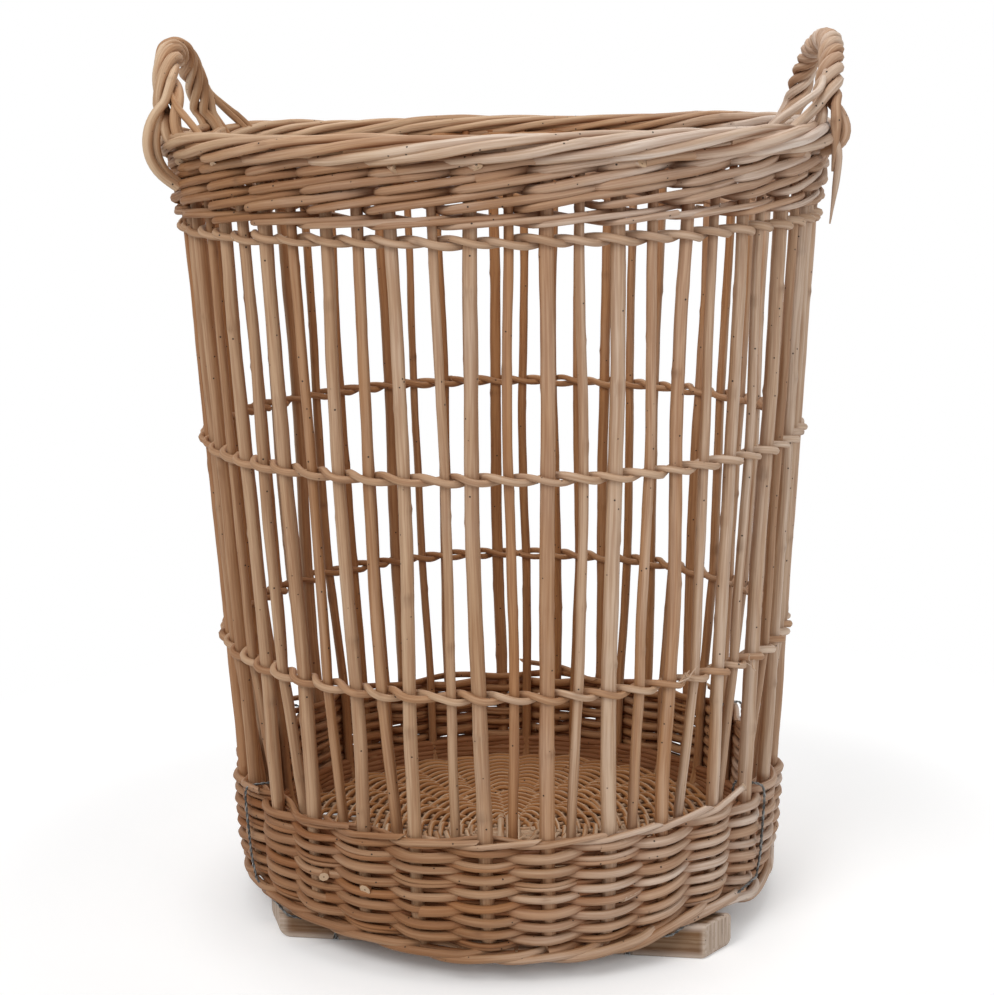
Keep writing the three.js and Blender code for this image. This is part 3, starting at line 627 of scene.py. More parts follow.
def soften(points, step, passes):
    """A bent line resampled and rounded at its corners, with its ends held."""
    line, _ = even_steps(np.asarray(points, dtype=float), step)
    for _ in range(passes):
        line[1:-1] = 0.25 * line[:-2] + 0.5 * line[1:-1] + 0.25 * line[2:]
    return line


# Meshes

class Skin:
    """Tubes with closed ends in one mesh, with what the materials read at each point."""

    def __init__(self):
        self.points = []
        self.faces = []
        self.place = []
        self.tone = []
        self.marks = []
        self.count = 0

    def add(self, points, place, marks, tone, faces):
        points = points.reshape(-1, 3)
        self.faces += (faces + self.count).tolist()
        self.points.append(points)
        self.place.append(place.reshape(-1, 3))
        self.marks.append(marks.reshape(-1, 3))
        self.tone.append(np.full(len(points), tone))
        self.count += len(points)

    def wall(self, rings, place, marks, tone, flip=False):
        """Join rows of points into a tube's wall."""
        count, sides = rings.shape[:2]
        index = np.arange(count * sides).reshape(count, sides)
        right = np.roll(index, -1, axis=1)
        quads = np.stack([index[:-1], right[:-1], right[1:], index[1:]], axis=-1).reshape(-1, 4)
        self.add(rings, place, marks, tone, quads[:, [0, 3, 2, 1]] if flip else quads)

    def cap(self, rim, place, edge, middle, tone, flip):
        """Close a tube's end with triangles round its middle; edge and middle are the marks there."""
        sides = len(rim)
        corner = np.arange(sides)
        after = np.roll(corner, -1)
        pair = (after, corner) if flip else (corner, after)
        faces = np.stack([np.full(sides, sides), *pair], axis=1)
        marks = np.array([edge] * sides + [middle], dtype=float)
        rim = np.vstack([rim, rim.mean(axis=0)])
        self.add(rim, np.vstack([place, place.mean(axis=0)]), marks, tone, faces)

    def finish(self, name, material, slot, node, bake_map=None):
        """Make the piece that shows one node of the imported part."""
        mesh = bpy.data.meshes.new(name)
        mesh.from_pydata(np.vstack(self.points), [], self.faces)
        mesh.update()
        mesh.polygons.foreach_set("use_smooth", np.ones(len(self.faces), dtype=bool))
        for label, kind, key, values in (
            ("place", "FLOAT_VECTOR", "vector", np.vstack(self.place)),
            ("marks", "FLOAT_VECTOR", "vector", np.vstack(self.marks)),
            ("tone", "FLOAT", "value", np.concatenate(self.tone)),
        ):
            attribute = mesh.attributes.new(label, kind, "POINT")
            attribute.data.foreach_set(key, values.astype(np.float32).ravel())
        if bake_map is not None:
            layer = mesh.uv_layers.new(name="OFBake")
            layer.data.foreach_set("uv", bake_map.astype(np.float32).ravel())
        mesh.materials.append(material)
        piece = bpy.data.objects.new(name, mesh)
        bpy.context.scene.collection.objects.link(piece)
        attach(piece, "root")
        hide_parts(node)


class RodBundle(Skin):
    """Rods gathered into one mesh, each with its own grain, tone, knots and strip of the bake map."""

    def __init__(self, seed):
        super().__init__()
        self.random = np.random.default_rng(seed)
        self.strips = []

    def lay(self, line, butt, tip, start="cut", end="cut", sides=8, step=0.0045, knots=0.12,
            bend=0.0, tone=None, painted_shade=0.0, slant=0.35, shade_measure=None):
        """Lay one rod along a line, from its butt's thickness to its tip's.

        An end is cut, a tip or hidden. Knots is about how far apart the knots are, bend how far the rod
        wanders and slant how steeply its ends are cut. The painted shade that darkens a rod where it lies
        between other rods comes from a measure for each point, or else from one amount for the whole rod.
        """
        random = self.random
        centre, along = even_steps(np.asarray(line, dtype=float), step)
        count = len(centre)
        reach = along[-1]
        tangent = unit(np.gradient(centre, axis=0))
        guide = np.cross(tangent[0], (0.31, 0.52, 0.79))
        first = np.empty_like(centre)
        for i in range(count):
            guide = guide - tangent[i] * np.dot(guide, tangent[i])
            guide /= math.sqrt(np.dot(guide, guide))
            first[i] = guide
        second = np.cross(tangent, first)
        if bend:
            centre = centre + first * (bend * ripple(along, 0.19, random))[:, None]
            centre = centre + second * (bend * ripple(along, 0.23, random))[:, None]
        radius = np.interp(along, [0.0, reach], [butt / 2, tip / 2])
        radius = radius * (1.0 + ROD_SWELL * ripple(along, 0.07, random))
        turn = 2 * math.pi * np.arange(sides) / sides
        oval = ROD_OVALNESS * np.cos(2 * turn[None, :] + random.uniform(0, 6))
        around = radius[:, None] * (1.0 + oval)
        knot = np.zeros((count, sides))
        if knots:
            at = random.uniform(0.2, 1.0) * knots
            while at < reach:
                near = np.exp(-(((along - at) / KNOT_HALF_LENGTH) ** 2))
                side = 0.5 + 0.5 * np.cos(turn - random.uniform(0, 2 * math.pi))
                knot = np.maximum(knot, near[:, None] * side[None, :] ** 4 * random.uniform(0.25, 0.8))
                around = around * (1.0 + near[:, None] * (0.03 + 0.13 * side[None, :] ** 3))
                at += knots * random.uniform(0.55, 1.6)
        if start == "tip":
            around = around * np.clip(0.25 + along / (6 * butt), 0, 1)[:, None]
        if end == "tip":
            around = around * np.clip(0.25 + (reach - along) / (9 * tip), 0, 1)[:, None]
        rings = centre[:, None, :] + first[:, None, :] * (around * np.cos(turn))[:, :, None]
        rings = rings + second[:, None, :] * (around * np.sin(turn))[:, :, None]
        tilt = random.uniform(0, 2 * math.pi)
        for row, state, sign in ((0, start, -1), (count - 1, end, 1)):
            if state == "cut":
                rings[row] += sign * tangent[row] * (slant * around[row] * np.cos(turn - tilt))[:, None]
        shift = random.uniform(0.0, 4.0, 3)
        place = np.empty((count, sides, 3))
        place[:, :, 0] = along[:, None] + shift[0]
        place[:, :, 1] = around * np.cos(turn) + shift[1]
        place[:, :, 2] = around * np.sin(turn) + shift[2]
        marks = np.zeros((count, sides, 3))
        marks[:, :, 0] = knot
        # The third mark is painted shade, from the measure for each point or from the one amount for the rod
        marks[:, :, 2] = painted_shade if shade_measure is None else shade_measure(rings)
        tone = random.uniform(0.0, 1.0) if tone is None else tone
        self.wall(rings, place, marks, tone)
        self.strips.append(("rod", along, sides, 2 * math.pi * radius.max()))
        for row, flip, state in ((0, True, start), (count - 1, False, end)):
            rim_cut, middle_cut = (0.6, 1.0) if state == "cut" else (0.0, 0.0)
            edge, middle = (0.0, rim_cut, painted_shade), (0.0, middle_cut, painted_shade)
            self.cap(rings[row], place[row], edge, middle, tone, flip)
            self.strips.append(("cap", around[row].mean(), sides, flip))

    def bake_map(self):
        """Corner positions for the bake map: rods cut into strips that lie in rows."""
        wide = max(s[3] for s in self.strips if s[0] == "rod") * 1.12
        total = sum(s[1][-1] + BAKE_GAP for s in self.strips if s[0] == "rod")
        total += sum(2.4 * s[1] for s in self.strips if s[0] == "cap")
        side = max(math.sqrt(total * wide) * 1.04, 0.03)
        cursor, row = 0.0, 0
        corners = []
        for kind, first, sides, last in self.strips:
            if kind == "rod":
                lengths = np.diff(first)
                left = np.empty(len(lengths))
                rows = np.empty(len(lengths))
                for i, span in enumerate(lengths):
                    if cursor + span > side:
                        cursor, row = 0.0, row + 1
                    left[i], rows[i] = cursor, row
                    cursor += span
                cursor += BAKE_GAP
                low = (np.arange(sides) / sides * 0.9 + 0.05) * wide
                high = low + 0.9 * wide / sides
                shape = (len(lengths), sides)
                u0 = np.broadcast_to(left[:, None], shape)
                u1 = np.broadcast_to((left + lengths)[:, None], shape)
                v0 = rows[:, None] * wide + low[None, :]
                v1 = rows[:, None] * wide + high[None, :]
                quad = np.stack([u0, v0, u0, v1, u1, v1, u1, v0], axis=-1)
                corners.append(quad.reshape(-1, 2))
            else:
                reach = min(first, 0.4 * wide)
                if cursor + 2.4 * reach > side:
                    cursor, row = 0.0, row + 1
                u, v = cursor + 1.2 * reach, (row + 0.5) * wide
                cursor += 2.4 * reach
                turn = 2 * math.pi * np.arange(sides) / sides
                rim = np.stack([u + reach * np.cos(turn), v + reach * np.sin(turn)], axis=1)
                after = np.roll(rim, -1, axis=0)
                pair = (after, rim) if last else (rim, after)
                hub = np.broadcast_to([[u, v]], (sides, 2))
                corners.append(np.stack([hub, pair[0], pair[1]], axis=1).reshape(-1, 2))
        return np.vstack(corners) / max(side, (row + 1) * wide)

    def finish(self, name, material, slot, node):
        super().finish(name, material, slot, node, self.bake_map())


def settings(context):
    return context.scene.basket_sizes, context.scene.basket_colours


# Weaving

def rods_in_turn(at, stop, shortest, longest, random, remainder=0.0):
    """Where each of the rods that follow one another begins and ends; the last takes up a remainder."""
    while at < stop - 0.5:
        last = min(at + random.uniform(shortest, longest), stop)
        if stop - last < remainder:
            last = stop
        yield at, last
        at = last


def fitch_line(row_z, phase, first, last, stake_clear, side_clear, unevenness, random):
    """One of two rods that twist round each other between the stakes."""
    count = np.linspace(first, last, int((last - first) * 14) + 2)
    near_main = 0.5 - 0.5 * np.cos(math.pi * count)
    clear = side_clear + (stake_clear - side_clear) * near_main
    swing = np.cos(math.pi * (count + phase))
    z = row_z - FITCH_SWING * np.sin(math.pi * (count + phase))
    z = z + FITCH_WANDER * ripple(count * STAKE_STEP * 0.23, 0.33, random)
    angle = stake_angle(count, z, unevenness)
    return polar(stake_ring(z) + clear * swing, angle, z)


def wale_line(strand, first, last, clear, unevenness, random):
    """A rod that passes in front of two pairs of stakes while it rises, and behind the third pair."""
    pairs = np.linspace(first, last, int((last - first) * 22) + 2)
    part = np.mod(pairs - strand + 0.16 * ripple(pairs * 0.031, 0.21, random), 3.0)

    def passed(at, steepness):
        return 1.0 / (1.0 + np.exp(-(part - at) * steepness))

    # It comes to the front at the first pair, goes behind before the third, and comes back
    outside = np.clip(passed(0.02, 15.0) - passed(1.95, 6.5) + passed(3.02, 15.0), 0.0, 1.0)
    bulge = 0.0014 * np.exp(-(((part - 0.35) / 0.3) ** 2))
    lift = np.where(part < 2.2, part / 2.2, (3.0 - part) / 0.8)
    turns = pairs / PAIRS
    low = WALE_FIRST_RISE * (turns - 0.4)
    low = low + (WALE_ROW_RISE - WALE_FIRST_RISE) * np.clip(turns - 1.0, 0.0, None)
    stroke = WALE_STROKE_RISE * (0.5 + 0.5 * np.clip((turns - 0.7) / 0.5, 0.0, 1.0))
    z = WALE_LOW_Z + 0.0008 + low + stroke * lift + 0.0011 * ripple(pairs * 0.0127, 0.09, random)
    z = np.clip(z, WALE_LOW_Z, WALE_TOP_Z)
    angle = stake_angle(2.0 * (pairs + WALE_START_PAIR) + 0.5, z, unevenness)
    return polar(stake_ring(z) + clear * (2.0 * outside - 1.0) + bulge, angle, z)


def band_line(first, last, clear, unevenness, random, lift=0.0):
    """A rod woven in front of one main stake and behind the next, in the rising spiral of the band."""
    count = np.linspace(first, last, int((last - first) * 18) + 2)
    low = band_edge(FRONT + (count + 0.5) * PAIR_STEP) + BAND_WEAVE_FOOT
    high = BAND_TOP - BAND_WEAVE_HEAD
    z = low + (high - low) * (count / PAIRS) / BAND_WEAVE_TURNS + lift
    z = z + 0.0010 * ripple(count * 0.043, 0.16, random)
    angle = stake_angle(2.0 * count + 1.0, z, unevenness)
    swing = np.cos(math.pi * count)
    return polar(stake_ring(z) + 0.86 * clear * swing, angle, z)


class BASKET_OT_stakes(bpy.types.Operator):
    """Stand the main stakes and the thinner side stakes between them"""

    bl_idname = "basket.stakes"
    bl_label = "Stand the Stakes"

    def execute(self, context):
        sizes, colours = settings(context)
        material = willow("Stake Willow", colours)
        for j in range(PAIRS):
            rods = RodBundle(100 + j)
            for k, butt, tip, inset in (
                (2 * j + 1, sizes.stake_foot, sizes.stake_top, 0.0),
                (2 * j + 2, sizes.side_stake * 1.06, sizes.side_stake * 0.96, SIDE_INSET),
            ):
                foot = float(band_edge(FRONT + k * STAKE_STEP)) + STAKE_FOOT_LIFT
                z = np.linspace(foot, BORDER_Z - 0.004, 90)
                within = np.clip((LOW_ROW_Z - z) / (LOW_ROW_Z - BAND_TOP), 0.0, 1.0)
                line = polar(stake_ring(z) - inset * within, stake_angle(k, z, sizes.unevenness), z)
                swell = rods.random.uniform(0.92, 1.08)
                # Painted shade where the stakes pass behind the woven strokes
                rods.lay(
                    line, butt * swell, tip * swell, end="hidden", sides=10, knots=0.1,
                    bend=0.0004 * sizes.unevenness, shade_measure=shade_between_strokes,
                )
            rods.finish(f"stake_pair_{j + 1}_rods", material, "stake", f"stake_pair_{j + 1}")
        return {"FINISHED"}


class BASKET_OT_foot_band(bpy.types.Operator):
    """Weave the foot band, with a wale along its lower edge and rod tips along its upper edge"""

    bl_idname = "basket.foot_band"
    bl_label = "Weave the Foot Band"

    def execute(self, context):
        sizes, colours = settings(context)
        material = willow("Weaver Willow", colours)
        run = BAND_WEAVE_TURNS * PAIRS / 3
        rod = sizes.band_rod
        clear = sizes.stake_foot / 2 + rod / 2 - 0.0001
        for part in range(3):
            rods = RodBundle(300 + part)
            random = rods.random
            for at, last in rods_in_turn(part * run, (part + 1) * run, 13.0, 24.0, random, 3.0):
                swell = random.uniform(0.9, 1.12)
                butt, tip, lifts = rod * 1.14 * swell, rod * 0.86 * swell, (0.0,)
                if random.uniform() < 0.16:
                    butt, tip, lifts = rod * 0.68, rod * 0.52, (-BAND_SPLIT_LIFT, BAND_SPLIT_LIFT)
                for lift in lifts:
                    line = band_line(at, last + 0.35, clear, sizes.unevenness, random, lift)
                    # Painted shade between the band's strokes
                    rods.lay(line, butt, tip, step=0.005, shade_measure=shade_between_strokes)
            if part == 0:
                self.foot_wale(rods, sizes)
                self.filling(rods, sizes)
            if part == 2:
                self.upper_tips(rods, sizes)
                self.cut_shoots(rods)
            rods.finish(f"foot_band_weave_{part + 1}", material, "weaver", f"foot_band_rod_{part + 1}")
        return {"FINISHED"}

    def foot_wale(self, rods, sizes):
        """The twisted row at the lower edge, which hangs in front of the runners and lies on them."""
        rod = sizes.band_rod
        clear = sizes.stake_foot / 2 + rod / 2
        for strand in range(3):
            count = np.linspace(strand, strand + PAIRS, PAIRS * 20)
            part = np.mod(count - strand, 3.0)
            front, back = np.cos(math.pi * (part - 1.0) / 2.2), -np.sin(math.pi * (part - 2.0))
            swing = np.clip(np.where(part < 2.0, front, back) * 1.5, -1.0, 1.0)
            lift = np.where(part < 2.0, part / 2.0, 3.0 - part)
            angle = FRONT + (count + 0.5) * PAIR_STEP
            z = band_edge(angle) + 0.0034 + 0.0068 * lift
            radius = stake_ring(z) + clear * swing + BAND_BELLY * np.clip(swing, 0.0, 1.0)
            over_runner = radius * np.abs(np.sin(angle - RUNNER_TURN)) < RUNNER_FACE + rod / 2
            beside_end = radius * np.abs(np.cos(angle - RUNNER_TURN)) > RUNNER_HALF_FACE
            z = np.where(over_runner & ~beside_end, np.maximum(z, BAND_FLOOR + rod / 2), z)
            line = polar(radius, stake_angle(2.0 * count + 1.0, z, sizes.unevenness), z)
            # Painted shade between the strokes
            rods.lay(soften(line, 0.003, 6), rod * 1.18, rod * 0.95, step=0.005, shade_measure=shade_between_strokes)

    def filling(self, rods, sizes):
        """Extra rods behind the weave, darkened with painted shade, which close the view between its strokes.
        """
        rod = sizes.band_rod
        clear = sizes.stake_foot / 2 + rod / 2
        angle = FRONT + np.linspace(0.0, 2 * math.pi, 260)
        z = band_edge(angle) + 0.0070
        line = polar(stake_ring(z) + 0.0035, angle, z)
        # These rods carry painted shade over their whole length
        rods.lay(line, rod * 0.85, rod * 0.85, step=0.006, sides=6, painted_shade=0.8)
        for row in range(6):
            z = BAND_FLOOR + 0.0030 + 0.0040 * row
            line = polar(stake_ring(z) - clear + 0.001 * np.cos(angle * PAIRS + row), angle, z)
            rods.lay(line, rod, rod, step=0.006, painted_shade=0.8)
        for row in range(17):
            z = BAND_FLOOR + 0.0072 + 0.0042 * row + 0.0005 * np.cos(7 * angle + row)
            line = polar(stake_ring(z) - 0.0010 + 0.0012 * np.cos(PAIRS * angle + math.pi * row), angle, z)
            rods.lay(line, rod * 0.7, rod * 0.7, step=0.008, sides=6, painted_shade=1.0)

    def upper_tips(self, rods, sizes):
        """Slanting rod ends in front of some main stakes, by the stake, how far past it, and height."""
        rod = sizes.band_rod
        clear = sizes.stake_foot / 2 + rod / 2
        for main, reach, top in (
            (-4, 0.8, 0.001), (-3, 0.82, 0.0), (-2, 0.84, -0.001), (-1, 0.82, -0.001),
            (0, 0.84, 0.0), (1, 0.8, 0.001), (2, 0.78, 0.003), (3, 0.7, 0.007),
            (9, 0.7, 0.004), (13, 0.6, 0.003), (18, 0.7, 0.004), (23, 0.6, 0.002),
        ):
            count = np.linspace(main - 0.9, main + reach, 40)
            rise = np.clip((count - main + 0.7) / (reach + 0.7), 0.0, 1.0)
            z = BAND_TOP - 0.0060 + (0.0065 + top) * rise
            angle = stake_angle(2.0 * count + 1.0, z, sizes.unevenness)
            swing = np.where(count < main, np.cos(math.pi * (count - main)), 1.0 - 0.15 * rise)
            line = polar(stake_ring(z) + clear * swing, angle, z)
            rods.lay(line, rod * 0.80, rod * 0.70, tone=0.9, knots=0.0, step=0.003, slant=1.8)

    def cut_shoots(self, rods):
        """Stumps of side shoots that were cut off close to the foot band."""
        for degrees, z, thick in ((-118.6, 0.069, 0.0092), (-128.4, 0.071, 0.0076)):
            aim = math.radians(degrees)
            ring = float(stake_ring(z))
            line = polar([ring, ring + 0.0102], [aim - 0.02, aim], [z + 0.0015, z])
            rods.lay(line, thick, thick * 0.9, start="hidden", knots=0.0, step=0.002, slant=0.5, tone=0.5)


class BASKET_OT_fitched_rows(bpy.types.Operator):
    """Twist the three fitched rows round the stakes"""

    bl_idname = "basket.fitched_rows"
    bl_label = "Twist the Fitched Rows"

    def execute(self, context):
        sizes, colours = settings(context)
        material = willow("Fitch Willow", colours)
        rod = sizes.fitch_rod
        for number, (row, z) in enumerate((("low", LOW_ROW_Z), ("middle", MIDDLE_ROW_Z), ("top", TOP_ROW_Z))):
            share = (z - BAND_FLOOR) / (TOP_ROW_Z - BAND_FLOOR)
            stake = sizes.stake_foot + (sizes.stake_top - sizes.stake_foot) * share
            clear = ((stake + rod) / 2 - 0.0002, (sizes.side_stake + rod) / 2)
            for phase in range(2):
                rods = RodBundle(400 + 10 * number + phase)
                random = rods.random
                begin = random.uniform(4.0, 26.0) + 24.0 * phase
                for at, last in rods_in_turn(begin, begin + STAKES, 24.0, 34.0, random):
                    line = fitch_line(z, phase, at, last + 1.3, *clear, sizes.unevenness, random)
                    rods.lay(line, rod * 1.12, rod * 0.9, end="tip", step=0.0034)
                if row == "low" and phase == 1:
                    self.frayed_bark(rods)
                rods.finish(f"{row}_fitch_{phase + 1}", material, "weaver", f"{row}_fitch_rod_{phase + 1}")
        return {"FINISHED"}

    def frayed_bark(self, rods):
        """Split fibres that stand up from the low row, front right."""
        share = np.linspace(0.0, 1.0, 9)
        for degrees, sweep, rise, out in (
            (-59.5, 4.2, 0.004, 0.003), (-58.0, 3.0, 0.009, 0.002), (-56.2, 2.6, 0.012, 0.004),
            (-54.0, -2.6, 0.009, 0.005), (-53.0, -3.4, 0.005, 0.003), (-38.5, 1.8, -0.007, 0.004),
            (-37.0, -2.0, 0.008, 0.004), (-35.5, -2.4, -0.004, 0.005),
        ):
            angle = math.radians(degrees) + math.radians(sweep) * share
            z = LOW_ROW_Z + rise * share**1.6
            line = polar(stake_ring(LOW_ROW_Z) + 0.0068 + out * share**2, angle, z)
            rods.lay(line, 0.0018, 0.0009, start="tip", sides=5, step=0.002, knots=0.0, tone=0.95)


class BASKET_OT_wale(bpy.types.Operator):
    """Lay the wale of long slanting rods under the border"""

    bl_idname = "basket.wale"
    bl_label = "Lay the Wale"

    def execute(self, context):
        sizes, colours = settings(context)
        material = willow("Wale Willow", colours)
        for part in range(2):
            rods = RodBundle(500 + part)
            random = rods.random
            for strand in range(3):
                begin = part * WALE_ROWS * PAIRS / 2 + 0.05 * strand
                stop = (part + 1) * WALE_ROWS * PAIRS / 2
                for at, last in rods_in_turn(begin, stop, 13.0, 21.0, random, 4.0):
                    thin = 0.74 if at < PAIRS * 0.8 else 1.0
                    rod = sizes.wale_rod * thin * random.uniform(0.88, 1.1)
                    clear = (sizes.stake_top + rod) / 2
                    line = wale_line(strand, at, last + 0.3, clear, sizes.unevenness, random)
                    # Painted shade between the wale's strokes
                    rods.lay(line, rod * 1.06, rod * 0.9, step=0.0045, shade_measure=shade_between_strokes)
            rods.finish(f"wale_rows_{part + 1}", material, "border", f"wale_rod_{part + 1}")
        return {"FINISHED"}


class BASKET_OT_border(bpy.types.Operator):
    """Roll the stake ends into the rope-like border"""

    bl_idname = "basket.border"
    bl_label = "Roll the Border"

    def execute(self, context):
        sizes, colours = settings(context)
        material = willow("Border Willow", colours)
        rods = RodBundle(600)
        random = rods.random
        rod = sizes.border_rod
        wide = BORDER_HALF_WIDTH - rod / 2
        deep = BORDER_HALF_DEPTH + BORDER_SAG - rod / 2
        share = np.linspace(0.0, 1.0, 130)
        for j in range(PAIRS):
            begin = FRONT + (j + 0.5) * PAIR_STEP + random.normal(0.0, 0.018)
            angle = begin + share * BORDER_ROD_PAIRS * PAIR_STEP
            round_section = random.normal(-0.175, 0.014) + 0.97 * share + 0.014 * ripple(share, 0.35, random)
            breathe = random.normal(1.02, 0.06) + 0.08 * ripple(share, 0.3, random)
            line = self.laid(wide * breathe, deep * breathe, oval_turn(round_section, wide, deep), angle)
            bottom = BORDER_Z + float(border_lift(begin)) - deep
            root = polar(
                [BORDER_RING - 0.010, BORDER_RING + 0.002],
                [begin - 0.045, begin - 0.026],
                [bottom - 0.001, bottom - 0.0005],
            )
            line = soften(np.vstack([root, line]), 0.002, 10)
            swell = random.uniform(0.84, 1.10)
            # Painted shade in the grooves between the border's rods
            rods.lay(
                line, rod * 1.03 * swell, rod * 0.86 * swell, start="hidden", knots=0.18, bend=0.0003,
                shade_measure=shade_between_border_rods,
            )
            angle = FRONT + j * PAIR_STEP + share * (BORDER_ROD_PAIRS - 0.6) * PAIR_STEP
            inset_wide, inset_deep = BORDER_CORE_INSET
            line = self.laid(wide - inset_wide, deep - inset_deep, share * 2 * math.pi, angle)
            rods.lay(line, rod * 0.9, rod * 0.9, start="hidden", end="hidden", step=0.01, sides=6, tone=0.1)
            if random.uniform() < 0.5:
                self.stub(rods, begin + random.uniform(-0.012, 0.012), rod * random.uniform(0.6, 0.85))
        rods.finish("rolled_border_rods", material, "border", "rolled_border")
        return {"FINISHED"}

    def laid(self, wide, deep, turn, angle):
        """A rod's line round the border's section while it runs along the rim."""
        z = BORDER_Z - BORDER_SAG + border_lift(angle) + deep * np.sin(turn)
        return polar(BORDER_RING + wide * np.cos(turn), angle, z)

    def stub(self, rods, aim, thick):
        """The slanted cut end of a stake under the border."""
        out = BORDER_RING + rods.random.uniform(0.0045, 0.0075)
        under = BORDER_Z + float(border_lift(aim)) - BORDER_HALF_DEPTH
        line = polar([BORDER_RING - 0.008, out], [aim, aim + 0.055], [under + 0.0005, under - 0.0022])
        rods.lay(line, thick, thick, start="hidden", knots=0.0, step=0.003, slant=1.1, tone=0.3)


def arch_point(side, turn):
    """Distance out, angle and height of a handle's middle line, which starts at its front foot."""
    handle = HANDLES[side]
    along = np.sign(np.cos(turn)) * np.abs(np.cos(turn)) ** HANDLE_SQUARENESS
    angle = handle.middle - handle.sweep * (HANDLE_HALF_SPAN * along + handle.draw * (1.0 - along) / 2)
    out = handle.foot_out + (handle.top_out - handle.foot_out) * np.sin(turn) ** 4
    height = BORDER_Z + HANDLE_RISE * np.abs(np.sin(turn)) ** HANDLE_SQUARENESS
    return BORDER_RING + out, angle, height


def arch_frame(side, first, last):
    """Points along part of a handle's middle line, with the directions outward and across."""
    start = math.asin((HANDLE_ROPE_START / HANDLE_RISE) ** (1 / HANDLE_SQUARENESS))
    whole = np.linspace(start, math.pi - start, 241)
    lengths = spans(polar(*arch_point(side, whole)))
    along = np.concatenate([[0.0], np.cumsum(lengths)]) / lengths.sum()
    steps = np.linspace(first, last, 130)
    centre = polar(*arch_point(side, np.interp(steps, along, whole)))
    tangent = unit(np.gradient(centre, axis=0))
    outward = unit(centre * np.array([1.0, 1.0, 0.0]))
    return steps, centre, outward, unit(np.cross(tangent, outward))


def handle_foot(side, end):
    """Angle at which a handle's foot stands, and the way that leads away from the handle there."""
    front = end == "front"
    sweep = HANDLES[side].sweep
    return float(arch_point(side, 0.0 if front else math.pi)[1]), -sweep if front else sweep


def foot_line(side, end, place):
    """The way that one strand takes from the rope at a foot."""
    route, fan, _ = HANDLE_FEET[side, end][place]
    foot, away = handle_foot(side, end)
    knots = FOOT_ROUTES[route]
    count = len(knots)
    points = []
    for n, (out, up) in enumerate(knots):
        share = (n + 1) / count if route == "rest" else 0.7 + 0.3 * n / count
        points.append(polar(BORDER_RING + out, foot + away * math.radians(fan) * share, BORDER_Z + up))
    return np.array(points)


def handle_strand(side, number, lay):
    """One strand of a handle's rope with both its feet."""
    turns, strands = HANDLES[side].turns, HANDLES[side].strands
    last_place = int(round(number + strands * turns)) % strands
    leave = HANDLE_FEET[side, "front"][number][2]
    arrive = 1.0 - HANDLE_FEET[side, "back"][last_place][2]
    steps, centre, outward, across = arch_frame(side, leave, arrive)
    twist = 2 * math.pi * ((number + 0.5) / strands + turns * steps)
    spread = 1.0 + 0.22 * np.exp(-((steps / 0.1) ** 2)) + 0.22 * np.exp(-(((1 - steps) / 0.1) ** 2))
    rope = centre + outward * (lay * spread * np.cos(twist))[:, None]
    rope = rope + across * (lay * spread * np.sin(twist))[:, None]
    first = foot_line(side, "front", number)
    last = foot_line(side, "back", last_place)
    whole = np.vstack([first[::-1], rope, last])
    line, easy = soften(whole, 0.002, 12), soften(whole, 0.002, 32)
    at = np.linspace(0.0, 1.0, len(line)) * spans(whole).sum()
    feet = [spans(foot).sum() + 0.010 for foot in (first, last)]
    ease = np.clip(np.maximum(feet[0] - at, feet[1] - at[-1] + at) / 0.012, 0.0, 1.0)[:, None]
    return line * (1.0 - ease) + easy * ease


def brace_line(side, end, reach, fan, beside, shares, thick):
    """A rod that leaves a handle's leg and comes down on the border some degrees beyond its foot."""
    foot, away = handle_foot(side, end)
    line = []
    for n, share in enumerate(shares):
        turn = math.asin(share ** (1 / HANDLE_SQUARENESS))
        radius, leg, height = arch_point(side, turn if end == "front" else math.pi - turn)
        line.append(polar(radius - 0.002, leg + away * (beside + 0.0035 * n) / BORDER_RING, height))
    rest = foot + away * math.radians(reach + fan)
    top = BORDER_Z + BORDER_HALF_DEPTH + thick / 2
    line.append(polar(BORDER_RING - 0.002, rest - away * 0.003 * reach, top + 0.003))
    line.append(polar(BORDER_RING - 0.005, rest, top - 0.0025))
    line.append(polar(BORDER_RING - 0.008, rest + away * 0.012, top - 0.008))
    return soften(line, 0.002, 12)


class BASKET_OT_handles(bpy.types.Operator):
    """Twist the two rope handles and tuck in their feet"""

    bl_idname = "basket.handles"
    bl_label = "Twist the Handles"

    def execute(self, context):
        sizes, colours = settings(context)
        material = willow("Handle Willow", colours)
        for side, handle in HANDLES.items():
            # Painted shade in the grooves between the handle's strands
            groove_shade = shade_between_strands(arch_frame(side, 0.0, 1.0)[1], handle.lay)
            for n in range(3):
                rods = RodBundle(700 + n + (10 if side == "right" else 0))
                for number in range(n, handle.strands, 3):
                    line = handle_strand(side, number, handle.lay * rods.random.uniform(0.93, 1.07))
                    thick = sizes.handle_strand * handle.swell * rods.random.uniform(0.9, 1.1)
                    free = HANDLE_FEET[side, "front"][number][0] == "hang"
                    rods.lay(
                        line, thick * (0.92 if free else 1.06), thick * 0.92, start="tip" if free else "cut",
                        step=0.004, knots=0.16, bend=0.0004, shade_measure=groove_shade,
                    )
                if side == "left" and n == 0:
                    line = brace_line(side, "front", 5.4, 0.0, 0.0040, (0.62, 0.52, 0.42), thick * 0.7)
                    rods.lay(line, thick * 0.62, thick * 0.70, start="tip", knots=0.06)
                node = f"{side}_handle_rod_{n + 1}"
                rods.finish(f"{side}_handle_strands_{n + 1}", material, "border", node)
        return {"FINISHED"}


